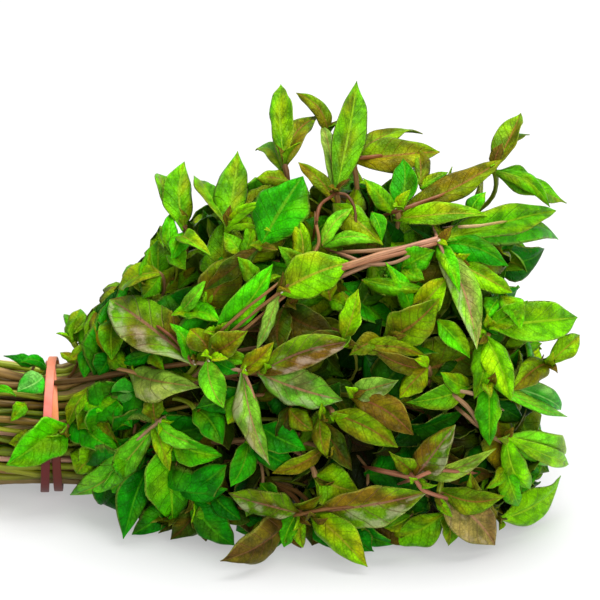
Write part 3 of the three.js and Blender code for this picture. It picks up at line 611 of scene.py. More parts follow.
def front_depth(across: float, down: float) -> float:
    """Return how near the viewer the head's front is: a rounded section, but on the surface."""
    top, bottom = along(TOP_OUTLINE, across), along(BOTTOM_OUTLINE, across)
    x = (across - VIEW_TIE_ACROSS) * VIEW_UNIT
    middle = section(x)[2] * VIEW_SIN
    beyond = held((x - FRONT_TAPER_START) / FRONT_TAPER_RUN)
    deep = (TIE_RADIUS + FRONT_MARGIN + FRONT_GROWTH * opening(x)) * math.sqrt(1 - 0.8 * beyond ** 4)
    t = min(abs(2 * down - top - bottom) / (bottom - top), 1.0)
    depth = middle + deep * (1 - t ** FRONT_ROUNDNESS) ** (1 / FRONT_ROUNDNESS)
    rise = (VIEW_TIE_DOWN - down) * VIEW_UNIT
    return max(depth, (SURFACE_CLEARANCE - rise * VIEW_COS) / VIEW_SIN)


def outward_at(point: np.ndarray) -> np.ndarray:
    """Return the direction from the head's middle outwards and towards the viewer."""
    half_y, half_z, middle = section(point[0])
    return unit(np.array([
        0.15,
        point[1] / half_y - 0.9 * VIEW_COS,
        (point[2] - middle) / half_z + 0.9 * VIEW_SIN,
    ]))


def is_inside(point: np.ndarray, margin: float) -> bool:
    """Return whether a point lies in the head's outline in the view, behind its front leaves."""
    across, down, depth = seen_at(point)
    above = down < along(SMALL_TOP, across)
    below = down > along(BOTTOM_OUTLINE, across) - 4
    beyond = across > along(SMALL_RIGHT, down)
    return not above and not below and not beyond and depth < front_depth(across, down) - margin


def blade_share(t: np.ndarray) -> np.ndarray:
    """Return a blade's half width at t as a share of its greatest: a skewed hump, long at the tip."""
    return 4.46 * t ** 0.95 * (1 - t) ** 1.2


@dataclass
class Blade:
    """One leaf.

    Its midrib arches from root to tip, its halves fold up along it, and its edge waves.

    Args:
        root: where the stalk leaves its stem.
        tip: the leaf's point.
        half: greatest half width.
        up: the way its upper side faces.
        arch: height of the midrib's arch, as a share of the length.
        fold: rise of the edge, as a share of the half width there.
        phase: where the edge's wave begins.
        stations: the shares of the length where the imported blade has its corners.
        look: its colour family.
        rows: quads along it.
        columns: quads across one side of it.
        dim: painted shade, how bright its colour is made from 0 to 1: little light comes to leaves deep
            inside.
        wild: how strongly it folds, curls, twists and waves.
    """

    root: np.ndarray
    tip: np.ndarray
    half: float
    up: np.ndarray
    arch: float
    fold: float
    phase: float
    stations: tuple[float, ...]
    look: Look = GREEN
    rows: int = 22
    columns: int = 10
    dim: float = 1.0
    wild: float = 1.0

    def axes(self) -> tuple[np.ndarray, np.ndarray, np.ndarray, float]:
        """Return the unit axis, the upper side, the side direction and the length."""
        span = self.tip - self.root
        length = float(np.linalg.norm(span))
        axis = span / length
        up = unit(self.up - axis * np.dot(self.up, axis))
        return axis, up, np.cross(axis, up), length

    def corner(self, n: int, hand: int) -> np.ndarray:
        """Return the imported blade's edge corner at station n, on the side of hand (-1 or 1)."""
        axis, up, side, length = self.axes()
        t = self.stations[n]
        share = float(blade_share(np.array(t)))
        half = PETIOLE_HALF + self.half * share
        rise = self.half * share * (self.fold + 0.12 * math.sin(self.phase + 2.6 * n * hand))
        return (self.root + axis * t * length + up * (self.arch * length * math.sin(math.pi * t) + rise)
                + side * hand * half)


class PackedCorners:
    """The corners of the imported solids, to find which try each leaf took."""

    def __init__(self, nodes: dict[str, Object], shift: np.ndarray) -> None:
        """Index every corner of every node.

        Args:
            nodes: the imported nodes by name.
            shift: the place of the band's middle in the shared frame, in millimetres.
        """
        self.owner: list[str] = []
        corners = []
        for name, node in sorted(nodes.items()):
            points = np.empty(len(node.data.vertices) * 3)
            node.data.vertices.foreach_get("co", points)
            corners.append(points.reshape(-1, 3) / MM - shift)
            self.owner += [name] * len(node.data.vertices)
        self.tree = KDTree(len(self.owner))
        for n, point in enumerate(np.concatenate(corners)):
            self.tree.insert(point, n)
        self.tree.balance()

    def has(self, point: np.ndarray, name: str) -> bool:
        """Return whether the node called name has a corner at the point."""
        return any(self.owner[n] == name for _, n, _ in self.tree.find_range(Vector(point), SAME_CORNER))


def node_name(i: int) -> str:
    """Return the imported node's name of stem i."""
    return f"leafy_stem_{i + 1:02d}"


@dataclass
class Twig:
    """A side shoot: from its stem through a bend to the sprig's point."""

    stem: int
    points: list[np.ndarray]

    @property
    def heading(self) -> np.ndarray:
        """Return the direction of its last run."""
        return unit(self.points[2] - self.points[1])

    def end_corners(self) -> Iterator[np.ndarray]:
        """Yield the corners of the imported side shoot's end."""
        heading = self.heading
        up = np.array([0.0, 1, 0]) if abs(heading[2]) > 0.9 else np.array([0.0, 0, 1])
        side = unit(np.cross(heading, up))
        top = np.cross(side, heading)
        for j in range(PACKED_TWIG_SIDES):
            angle = 2 * math.pi * j / PACKED_TWIG_SIDES
            yield self.points[2] + 0.9 * TWIG_RADIUS * (side * math.cos(angle) + top * math.sin(angle))


def twig_at(i: int, point: np.ndarray, run: float) -> Twig:
    """Return the side shoot from stem i to a point, leaving the stem run millimetres before it."""
    root_x = max(BAND_CLEAR_X, point[0] - run)
    root = stem_point(i, root_x)
    reach = np.linalg.norm(point - root)
    ahead = root + stem_direction(i, root_x) * 0.45 * reach
    return Twig(i, [root, ahead + (point - ahead) * 0.35, point])


def stems_near(point: np.ndarray, run: float) -> list[int]:
    """Return the stems nearest to a point, nearest first, among those that reach it."""
    root_x = max(BAND_CLEAR_X, point[0] - run)
    reaching = [i for i in range(STEM_COUNT) if stem_end(i) > root_x + 2]
    return sorted(reaching, key=lambda i: np.linalg.norm(stem_point(i, root_x) - point))[:TWIG_STEM_TRIES]


def shown_blade(leaf: Leaf, point: np.ndarray, key: int, change: float, roll: float) -> Blade:
    """Return a shown leaf at one try of depth and roll.

    Args:
        leaf: its tip across and down, width and look.
        point: where it springs from.
        key: its own number, which its draws depend on.
        change: the try of depth.
        roll: the try of the turn about its own axis, in degrees.
    Returns:
        The blade.
    """
    across, down, width, look = leaf
    tip = view_point(across, down, front_depth(across, down) + 2 + 4 * draw(key, 3, 0) + change)
    axis = unit(tip - point)
    swing = math.radians(roll + 24 * (draw(key, 4, 0) - 0.5))
    return Blade(
        root=point - axis * ROOT_DEPTH,
        tip=tip,
        half=width * VIEW_UNIT / 2 / math.cos(0.35),
        up=turned(outward_at((tip + point) / 2), axis, swing),
        arch=0.05 + 0.07 * draw(key, 5, 0),
        fold=0.1 + 0.3 * draw(key, 6, 0),
        phase=6.28 * draw(key, 7, 0),
        stations=PAIR_STATIONS if width < SMALL_LEAF_WIDTH else SHOWN_STATIONS,
        look=look,
        wild=along(((16, 1.1), (26, 0.85), (40, 0.5)), width),
    )


def pair_blade(i: int, joint: int, hand: int, choice: Triple) -> Blade:
    """Return one leaf of the pair at a joint of stem i, at one try of lean, turn and size."""
    lean_change, turn_change, size = choice
    key = i * 40 + joint * 2 + hand
    x = stem_end(i) - 2 - joint * LEAF_SPACING * (0.9 + 0.2 * draw(i, 8, joint))
    heading = stem_direction(i, x)
    across = unit(np.cross(heading, np.array([0.0, 0, 1])))
    turn = (math.pi * hand + math.pi / 2 * joint + 6.28 * draw(i, 9, 0)
            + math.radians(turn_change))
    radial = turned(across, heading, turn)
    lean = math.radians(38 + 9 * min(joint, 3) + 14 * draw(key, 10, 0) + lean_change)
    axis = heading * math.cos(lean) + radial * math.sin(lean)
    young = 0.72 if joint == 0 else 1.0
    length = RULE_LEAF_LENGTH * young * (0.85 + 0.4 * draw(key, 11, 0)) * size
    root = stem_point(i, x)
    return Blade(
        root=root - axis * ROOT_DEPTH,
        tip=root + axis * length,
        half=length * (0.19 + 0.06 * draw(key, 12, 0)),
        up=heading - radial * 0.3,
        arch=0.04 + 0.1 * draw(key, 13, 0),
        fold=0.1 + 0.3 * draw(key, 14, 0),
        phase=6.28 * draw(key, 15, 0),
        stations=PAIR_STATIONS,
        rows=14,
        columns=8,
    )


@dataclass
class Growth:
    """All that grows on one stem: side shoots, large leaves, and thin shoots with small leaves."""

    stem: int
    twigs: list[Twig] = field(default_factory=list)
    blades: list[Blade] = field(default_factory=list)
    buds: list[tuple[np.ndarray, int]] = field(default_factory=list)
    thin_twigs: list[Twig] = field(default_factory=list)


class FoundBunch:
    """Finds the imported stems' side shoots and leaves among the tries that could have made them."""

    def __init__(self, corners: PackedCorners) -> None:
        """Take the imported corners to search."""
        self.corners = corners
        self.growths = [Growth(i) for i in range(STEM_COUNT)]
        self.missed = 0

    def find(self) -> list[Growth]:
        """Return what grows on each stem."""
        for number, sprig in enumerate(SHOWN_SPRIGS):
            self._find_sprig(sprig, number + 1)
        for i in range(STEM_COUNT):
            self._find_pairs(i)
        return self.growths

    def _find_sprig(self, sprig: Sprig, number: int) -> None:
        """Find a shown sprig's side shoot, then its leaves."""
        across, down = sprig.at
        for change in TWIG_DEPTH_TRIES:
            point = view_point(across, down, front_depth(across, down) - SHOOT_DEPTH + sprig.lift + change)
            for run in TWIG_RUN_TRIES:
                for i in stems_near(point, run):
                    twig = twig_at(i, point, run)
                    if any(self.corners.has(corner, node_name(i)) for corner in twig.end_corners()):
                        self._take_sprig(sprig, twig, number)
                        return
        LOG.warning("no side shoot found for the sprig at %s", sprig.at)

    def _take_sprig(self, sprig: Sprig, twig: Twig, number: int) -> None:
        """Keep a side shoot and find each of its leaves."""
        growth = self.growths[twig.stem]
        growth.twigs.append(twig)
        growth.buds.append((twig.points[2], sprig.buds))
        growth.blades += young_blades(twig, number)
        for n, leaf in enumerate(sprig.leaves):
            joint = twig.points[2] - twig.heading * JOINT_STEP * (n + 0.7)
            blade = self._find_shown(leaf, joint, twig.stem, number * 10 + n)
            if blade:
                growth.blades.append(blade)
            else:
                self.missed += 1
        for n, leaf in enumerate(sprig.thin):
            joint = twig.points[2] - twig.heading * JOINT_STEP * (n + 0.3)
            growth.blades.append(shown_blade(leaf, joint, THIN_KEY + number * 10 + n, -2, 0))

    def _find_shown(self, leaf: Leaf, point: np.ndarray, stem: int, key: int) -> Blade | None:
        """Return the shown leaf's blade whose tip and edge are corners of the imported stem."""
        name = node_name(stem)
        tip_only = None
        for roll in ROLL_TRIES:
            for change in DEPTH_TRIES:
                blade = shown_blade(leaf, point, key, change, roll)
                if not self.corners.has(blade.tip, name):
                    continue
                tip_only = tip_only or blade
                if any(self.corners.has(blade.corner(n, hand), name)
                       for n in range(len(blade.stations)) for hand in (-1, 1)):
                    return blade
        return tip_only

    def _find_pairs(self, i: int) -> None:
        """Find the leaf pairs along stem i."""
        place = PLACES[i]
        towards_viewer = place.up * VIEW_SIN - place.side * VIEW_COS
        joints = JOINTS_OUTSIDE if place.reach > 0.6 and towards_viewer < 0.35 else JOINTS_HIDDEN
        for joint in range(joints):
            for hand in (0, 1):
                for choice in RULE_TRIES:
                    blade = pair_blade(i, joint, hand, choice)
                    if self.corners.has(blade.tip, node_name(i)):
                        blade.look = drawn_look(i * 40 + joint * 2 + hand, blade.tip)
                        # Painted shade: the pair leaves' colour is made a little darker
                        blade.dim = 0.85
                        self.growths[i].blades.append(blade)
                        break


def young_blades(twig: Twig, key: float) -> list[Blade]:
    """Return the two smallest leaves at a side shoot's tip, still half closed over it."""
    heading = twig.heading
    across = unit(np.cross(heading, outward_at(twig.points[2])))
    blades = []
    for hand in (0, 1):
        radial = turned(across, heading, math.pi * hand + 3 * draw(key, 61, hand))
        lean = math.radians(22 + 26 * draw(key, 62, hand))
        axis = heading * math.cos(lean) + radial * math.sin(lean)
        length = 7 + 6 * draw(key, 63, hand)
        root = twig.points[2] - heading * 0.5
        blades.append(Blade(
            root=root, tip=root + axis * length, half=length * 0.2, up=heading - radial * 0.3, arch=0.08,
            fold=0.5, phase=draw(key, 64, hand), stations=PAIR_STATIONS,
            look=LIME if draw(key, 65, hand) < 0.6 else BRONZE, rows=6, columns=4,
        ))
    return blades


def grow_small_sprigs(growths: list[Growth]) -> int:
    """Add the smaller sprigs, each on the stem nearest to it, and return how many leaves they have."""
    count = 0
    for number, sprig in enumerate(SMALL_SPRIGS):
        across, down = sprig.at
        point = view_point(across, down, front_depth(across, down) - SHOOT_DEPTH + sprig.lift)
        if point[0] > HEAD_START_X:
            run = max(14.0, point[0] - LAST_TWIG_ROOT_X)
            stem = stems_near(point, run)[0]
            twig = twig_at(stem, point, run)
        else:
            root_x = point[0] - COLLAR_TWIG_RUN
            stem = min(range(STEM_COUNT), key=lambda i: np.linalg.norm(stem_point(i, root_x) - point))
            root = stem_point(stem, root_x)
            twig = Twig(stem, [root, (root + point) / 2 + np.array([1.0, 0, 0]), point])
        growths[stem].thin_twigs.append(twig)
        for n, leaf in enumerate(sprig.leaves):
            joint = point - twig.heading * JOINT_STEP * (n + 0.7)
            blade = shown_blade(leaf, joint, SMALL_KEY + number * 10 + n, -3, 0)
            blade.rows, blade.columns = 14, 8
            growths[stem].blades.append(blade)
            count += 1
    return count


@dataclass(frozen=True)
class FillSpot:
    """Where a thin shoot ends.

    Args:
        number: its own number, which its draws depend on.
        point: its end.
        outward: the way outwards there.
        clear: how far its leaves stay behind the large ones.
        dim: the painted shade of its leaves, as how bright their colour is made.
    """

    number: int
    point: np.ndarray
    outward: np.ndarray
    clear: float
    dim: float


@dataclass(frozen=True)
class Fill:
    """The thin shoots and small leaves that close the head behind the large ones.

    Args:
        shoots: how many thin shoots.
        first_x, last_x: where the first and the last of them end.
        shells: the shares of the head's half width and height that they take in turn, and the
            painted shade of the leaves of each, as how bright their colour is made.
        cap_shoots: how many more close the head's far end.
        collar_shoots: how many more cover the stems just past the band.
        collar_run: how far the collar reaches along the bunch.
        length: a leaf's length.
        clear: how far they stay behind the large leaves.
        collar_clear: the same for the collar, which lies over the stems.
    """

    shoots: int = 480
    first_x: float = 20.0
    last_x: float = 200.0
    shells: tuple[tuple[float, float], ...] = (
        (0.98, 0.56), (1.1, 0.86), (0.86, 0.24), (1.2, 0.96), (0.7, 0.12), (1.04, 0.76), (0.93, 0.4),
        (0.5, 0.08),
    )
    cap_shoots: int = 60
    collar_shoots: int = 96
    collar_run: float = 44.0
    length: float = 34.0
    clear: float = 4.0
    collar_clear: float = -5.0

    def spots(self) -> Iterator[FillSpot]:
        """Yield where each shoot ends.

        The shoots turn round the head by golden steps as they go along it, and those of the far
        end lie in a sunflower's pattern on its disc.
        """
        for n in range(self.shoots):
            share = (n + 0.5) / self.shoots
            x = self.first_x + (self.last_x - self.first_x) * share ** 0.9
            shell, dim = self.shells[n % len(self.shells)]
            yield self._round(n, x, n * GOLDEN_ANGLE, shell, self.clear, dim)
        for n, place in enumerate(sunflower(self.cap_shoots, self.cap_shoots)):
            x = self.last_x + 9 - 10 * place.reach
            half_y, half_z, middle = section(x)
            point = np.array([x, 0.9 * half_y * place.side, middle + 0.9 * half_z * place.up])
            outward = unit(np.array([1.0, place.side, place.up]))
            yield FillSpot(self.shoots + n, point, outward, self.clear, 0.9)
        for n in range(self.collar_shoots):
            number = self.shoots + self.cap_shoots + n
            x = 14 + self.collar_run * ((n + 0.5) / self.collar_shoots)
            shell = 1.05 + 0.14 * draw(n, 70, 1)
            yield self._round(number, x, n * GOLDEN_ANGLE, shell, self.collar_clear, 0.95)

    @staticmethod
    def _round(number: int, x: float, angle: float, shell: float, clear: float, dim: float) -> FillSpot:
        """Return a spot at an angle round the head at x, on a shell of it."""
        half_y, half_z, middle = section(x)
        side, up = math.cos(angle), math.sin(angle)
        point = np.array([x, half_y * shell * side, middle + half_z * shell * up])
        outward = unit(np.array([0.15, 60 * side / half_y, 60 * up / half_z]))
        return FillSpot(number, point, outward, clear, dim)

    def grow(self, growths: list[Growth]) -> int:
        """Add the thin shoots and their leaves to the stems, and return how many leaves there are."""
        count = 0
        for spot in self.spots():
            if spot.point[2] < 4 or not is_inside(spot.point, spot.clear + 2):
                continue
            collar = spot.clear < 0
            stem = stems_near(spot.point, 6 if collar else 16)[0]
            run = COLLAR_TWIG_RUN if collar else 12 + 12 * draw(spot.number, 71, 0)
            twig = twig_at(stem, spot.point, run)
            blades = [blade for blade in self._blades(spot, twig) if blade]
            if blades:
                growths[stem].thin_twigs.append(twig)
                growths[stem].blades += blades
                count += len(blades)
        return count

    def _blades(self, spot: FillSpot, twig: Twig) -> Iterator[Blade | None]:
        """Yield the two pairs of leaves of a thin shoot, or None for one with no room."""
        n, outward = spot.number, spot.outward
        out_share = 0.1 if spot.clear < 0 else 0.2 + 0.7 * draw(n, 72, 0)
        heading = unit(twig.heading * 0.5 + np.array([0.5, 0, 0]) + outward * out_share)
        across = unit(np.cross(heading, outward))
        for pair in range(2):
            for hand in range(2):
                key = n * 10 + pair * 2 + hand + FILL_KEY
                turn = math.pi * hand + math.pi / 2 * pair + 1.2 * (draw(n, 73, pair) - 0.5)
                radial = turned(across, heading, turn)
                lean = math.radians(42 + 18 * pair + 26 * draw(key, 74, 0))
                axis = heading * math.cos(lean) + radial * math.sin(lean)
                root = twig.points[2] - twig.heading * 7 * pair
                up = (outward * 0.9 + heading * 0.4 + radial * 1.5 * (draw(key, 75, 0) - 0.55)
                      + np.cross(axis, outward) * 1.5 * (draw(key, 82, 0) - 0.5))
                yield self._fitted(key, root, axis, up, spot)

    def _fitted(self, key: int, root: np.ndarray, axis: np.ndarray, up: np.ndarray,
                spot: FillSpot) -> Blade | None:
        """Return a leaf at the first of three sizes that stays in the head and off the surface."""
        for size in (1.0, 0.82, 0.66):
            length = self.length * size * (0.75 + 0.5 * draw(key, 76, 0))
            half = length * (0.21 + 0.1 * draw(key, 77, 0))
            tip = root + axis * length
            middle = (root + tip) / 2
            if min(tip[2], middle[2] - half * 0.7) < 1.5 or not is_round(tip):
                continue
            if tip[0] < BAND_CLEAR_X or not is_inside(tip, spot.clear):
                continue
            if not is_inside(middle, spot.clear + 2):
                continue
            if near_trail(tip) or near_trail(middle) or in_hollow(tip) or in_hollow(middle):
                continue
            # Painted shade: the leaf's colour is darkened by its shell and by where it lies
            return Blade(
                root=root, tip=tip, half=half, up=up, arch=0.1 * draw(key, 78, 0),
                fold=0.35 * draw(key, 79, 0), phase=6.28 * draw(key, 80, 0), stations=PAIR_STATIONS,
                look=drawn_look(key, tip), rows=10, columns=6, dim=spot.dim * painted_shade_factor(tip), wild=1.15,
            )
        return None


def is_round(point: np.ndarray) -> bool:
    """Return whether a point lies in the head's full section, which closes at the far end behind."""
    half_y, half_z, middle = section(point[0])
    closing = held((point[0] - CLOSING_START) / CLOSING_RUN) ** 2 * held(point[1] / half_y)
    narrow = 1 - 0.4 * closing
    side = point[1] / (half_y * narrow + BEYOND_STEMS_Y)
    return math.hypot(side, (point[2] - middle) / (half_z * narrow + BEYOND_STEMS_Z)) < 1


def painted_shade_factor(point: np.ndarray) -> float:
    """Return the painted shade of a small leaf for where it lies, as how bright its colour is made: darker
    low down and deep in the front.
    """
    across, down, depth = seen_at(point)
    deep = held((front_depth(across, down) - depth) / 12)
    low = held((30 - point[2]) / 24)
    return (1 - 0.6 * (deep * PAINTED_SHADE_FRONT.share(across, down))) * (1 - 0.4 * low)


def in_hollow(point: np.ndarray) -> bool:
    """Return whether a point would close one of the gaps that the view looks into."""
    across, down, depth = seen_at(point)
    if depth < front_depth(across, down) - HOLLOW_DEPTH:
        return False
    return any(math.hypot(across - x, down - y) < radius for x, y, radius in HOLLOWS)


def near_trail(point: np.ndarray) -> bool:
    """Return whether a point would hide a bare shoot: over its line in the view, and not far behind."""
    across, down, depth = seen_at(point)
    if depth < front_depth(across, down) - SHOOT_DEPTH - TRAIL_COVER:
        return False
    spot = np.array([across, down])
    for trail in TRAILS:
        for start, stop in zip(trail.line, trail.line[1:]):
            run = np.subtract(stop, start)
            share = np.clip(np.dot(spot - start, run) / np.dot(run, run), 0, 1)
            if np.linalg.norm(spot - start - share * run) < TRAIL_MARGIN:
                return True
    return False


def drawn_look(key: int, tip: np.ndarray) -> Look:
    """Return a look by a weighted draw: bronze and olive gather low on the front of the head."""
    across, down, _ = seen_at(tip)
    warm = WARM_FRONT.share(across, down)
    left = 1.0 if across < 180 and down > 340 else 0.0
    ranks = (
        (BRONZE, 0.16 * warm), (OLIVE, 0.16 + 0.2 * warm), (SHADE, 0.07 - 0.05 * left),
        (LIME, 0.14 - 0.08 * left), (BRIGHT, 0.1), (DEEP, 0.16 + 0.2 * left),
        (EMERALD, 0.1 + 0.2 * left), (GREEN, 1.0),
    )
    value = draw(key, 81, 0)
    for look, share in ranks:
        if value < share:
            return look
        value -= share
    return GREEN


def loft_faces(rows: int, ring: int) -> np.ndarray:
    """Return the quads between rows of a closed ring: each joins a point to the next row's.

    Args:
        rows: how many rings.
        ring: points in each.
    Returns:
        An array of four indices a face.
    """
    r, k = np.meshgrid(np.arange(rows - 1), np.arange(ring), indexing="ij")
    after = (k + 1) % ring
    return np.stack([r * ring + k, r * ring + after, (r + 1) * ring + after, (r + 1) * ring + k],
                    axis=-1).reshape(-1, 4)


def new_object(name: str, data: ID) -> Object:
    """Return a new object of a mesh, a lamp or a camera, linked to the scene."""
    obj = bpy.data.objects.new(name, data)
    bpy.context.scene.collection.objects.link(obj)
    return obj


class MeshSheaf:
    """Gathers closed surfaces into one mesh, with a colour, a pattern place and a material each."""

    def __init__(self) -> None:
        """Start empty."""
        self.points: list[np.ndarray] = []
        self.faces: list[np.ndarray] = []
        self.places: list[np.ndarray] = []
        self.tints: list[np.ndarray] = []
        self.ribs: list[np.ndarray] = []
        self.slots: list[np.ndarray] = []
        self.count = 0

    def add(self, grid: np.ndarray, place: np.ndarray, tint: np.ndarray, slots: np.ndarray,
            rib: np.ndarray = np.zeros(4)) -> None:
        """Add a tube-like surface closed by a point at each end.

        Args:
            grid: rows, ring and x, y, z of its points.
            place: the same grid's pattern place, two numbers a point.
            tint: the same grid's linear colour and its share of pale mottling and painted sheen, four
                numbers a point.
            slots: the material number of each column of quads.
            rib: the linear colour of its ribs and the strength of its side veins.
        """
        rows, ring = grid.shape[:2]
        ends = np.stack([grid[0].mean(axis=0), grid[-1].mean(axis=0)])
        points = np.concatenate([grid.reshape(-1, 3), ends])
        quads = loft_faces(rows, ring)
        column = np.arange(ring)
        after = (column + 1) % ring
        first, last = rows * ring, rows * ring + 1
        start = np.stack([after, column, np.full(ring, first), np.full(ring, first)], axis=-1)
        base = (rows - 1) * ring
        stop = np.stack([base + column, base + after, np.full(ring, last), np.full(ring, last)], axis=-1)
        self.points.append(points)
        self.faces.append(np.concatenate([quads, start, stop]) + self.count)
        self.places.append(np.concatenate([place.reshape(-1, 2), place[[0, -1]].mean(axis=1)]))
        self.tints.append(np.concatenate([tint.reshape(-1, 4), tint[[0, -1]].mean(axis=1)]))
        self.ribs.append(np.tile(rib, (len(points), 1)))
        self.slots.append(np.concatenate([np.tile(slots, rows - 1), slots, slots]))
        self.count += len(points)

    def build(self, name: str, materials: Sequence[Material],
              shift: np.ndarray) -> Object:
        """Return the object of all that was gathered; what hangs below the surface bends level on it.

        Args:
            name: the piece's name.
            materials: its materials, by slot number.
            shift: the place of the band's middle in the shared frame, in millimetres.
        Returns:
            The object, at the origin.
        """
        points = np.concatenate(self.points)
        height = points[:, 2]
        points[:, 2] = np.where(height < 1, np.exp(np.minimum(height, 1) - 1), height)
        points = (points + shift) * MM
        faces = np.concatenate(self.faces)
        loops = [tuple(face[:3]) if face[2] == face[3] else tuple(face) for face in faces.tolist()]
        mesh = bpy.data.meshes.new(name)
        mesh.from_pydata(points.tolist(), [], loops)
        mesh.polygons.foreach_set("material_index", np.concatenate(self.slots).astype(np.int32))
        mesh.polygons.foreach_set("use_smooth", np.ones(len(loops), dtype=bool))
        corner = np.empty(len(mesh.loops), dtype=np.int32)
        mesh.loops.foreach_get("vertex_index", corner)
        layer = mesh.uv_layers.new(name="pattern")
        layer.data.foreach_set("uv", np.concatenate(self.places)[corner].ravel().astype(np.float32))
        for attribute, values in (("tint", self.tints), ("rib", self.ribs)):
            colour = mesh.attributes.new(attribute, "FLOAT_COLOR", "POINT")
            colour.data.foreach_set("color", np.concatenate(values).ravel().astype(np.float32))
        mesh.update()
        piece = new_object(name, mesh)
        for material in materials:
            mesh.materials.append(material)
        return piece


LEAF_UPPER, LEAF_UNDER, STALK, BUD = range(4)


@dataclass(frozen=True)
class BladeSurface:
    """The numbers that shape and colour one leaf's surface, drawn from its number."""

    key: float

    def number(self, n: int, low: float, high: float) -> float:
        """Return the n-th number of this leaf, between low and high."""
        return low + (high - low) * draw(self.key, 30 + n, 7)


def smooth_step(x: np.ndarray, low: float, high: float) -> np.ndarray:
    """Return 0 below low, 1 above high, and the cubic ease between."""
    t = np.clip((x - low) / (high - low), 0, 1)
    return t * t * (3 - 2 * t)


def leaf_outline(t: np.ndarray, fullness: float, skew: float) -> np.ndarray:
    """Return a leaf's half width at t as a share of its greatest: a sine hump drawn in at both ends."""
    drawn_in = (1 - 0.5 * np.exp(-(t / 0.13) ** 2)) * (1 - 0.3 * np.exp(-((1 - t) / 0.08) ** 2))
    return np.sin(np.pi * t ** skew) ** fullness * drawn_in


def blade_grid(rows: int, columns: int) -> tuple[np.ndarray, np.ndarray, np.ndarray]:
    """Return a leaf's points by row and ring: across, along, and 1 above or -1 beneath."""
    even = np.linspace(0.0, 1.0, rows + 1)
    t = ((0.6 * even + 0.2 * (1 - np.cos(np.pi * even))) * 0.995)[:, None]
    top = np.sin(np.linspace(-np.pi / 2, np.pi / 2, columns + 1) * 0.8) / math.sin(np.pi / 2 * 0.8)
    s = np.concatenate([top, top[-2:0:-1]])[None, :]
    over = np.concatenate([np.ones(columns + 1), -np.ones(columns - 1)])[None, :]
    return s, t, over


def blade_width(blade: Blade, form: BladeSurface, s: np.ndarray, t: np.ndarray,
                share: np.ndarray) -> np.ndarray:
    """Return the half width at each point: finely ruffled, bulging, and wider on one side."""
    wild = blade.wild
    stalk = (PETIOLE_HALF - 0.1) * (1 - 0.9 * t)
    ruffle = (form.number(0, 0.02, 0.09) * (0.5 + 0.5 * wild)
              * np.sin(form.number(1, 14, 24) * t + 3 * np.sign(s) + blade.phase))
    bulge = (form.number(34, 0.02, 0.11) * (0.4 + 0.6 * wild)
             * np.sin(form.number(35, 5, 9) * t + 2.2 * np.sign(s) + form.number(36, 0, 6)))
    lopsided = 1 + form.number(9, -0.14, 0.14) * np.sign(s)
    return stalk + blade.half * share * (lopsided + ruffle + bulge)


def blade_rise(blade: Blade, form: BladeSurface, s: np.ndarray, t: np.ndarray,
               share: np.ndarray) -> np.ndarray:
    """Return how far each point stands above the midrib.

    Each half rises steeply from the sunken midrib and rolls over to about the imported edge's height.
    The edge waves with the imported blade, finely between, and rolls up or down, and the surface
    puckers between the side veins.
    """
    wild = blade.wild
    reach = np.abs(s)
    step = blade.stations[1] - blade.stations[0]
    packed_wave = 0.12 * np.sin(blade.phase + 2.6 * s * (t - blade.stations[0]) / step) * reach ** 1.5
    fine_wave = (form.number(2, 0.06, 0.2) * (0.4 + 0.6 * wild)
                 * np.sin(form.number(3, 9, 16) * t + 1.7 * s + 2 * blade.phase))
    valley = form.number(4, 0.35, 0.9) * (0.4 + 0.6 * wild)
    halves = (blade.fold + valley) * reach ** 0.8 - valley * reach ** 2.4
    rolled = (form.number(31, -0.6, 0.3) + form.number(32, -0.3, 0.3) * np.sign(s)) * (0.4 + 0.6 * wild)
    rolled = (rolled * smooth_step(reach, 0.6, 1.0)
              * (1 + 0.5 * np.sin(form.number(33, 3, 8) * t + blade.phase)))
    rise = blade.half * share * (halves + rolled + packed_wave + fine_wave * reach ** 2)
    veins = np.abs(np.sin(np.pi * (VEIN_PAIRS * t - VEIN_SLANT * reach)))
    pucker = form.number(5, 0.25, 0.65) * (np.sqrt(veins) - 0.6) * share * (1 - s ** 2) * np.sqrt(reach)
    return rise + pucker


def blade_thickness(s: np.ndarray, t: np.ndarray, over: np.ndarray) -> np.ndarray:
    """Return how far each side stands off the blade's middle: thin, with a midrib that shows beneath."""
    thin = 0.2 + 0.6 * (1 - t) ** 4
    rib = 0.35 * np.exp(-90 * s ** 2) * (1 - 0.8 * t)
    return thin * np.sqrt(np.clip(1 - s ** 2, 0, 1)) + np.where(over < 0, 1.3, 0.3) * rib


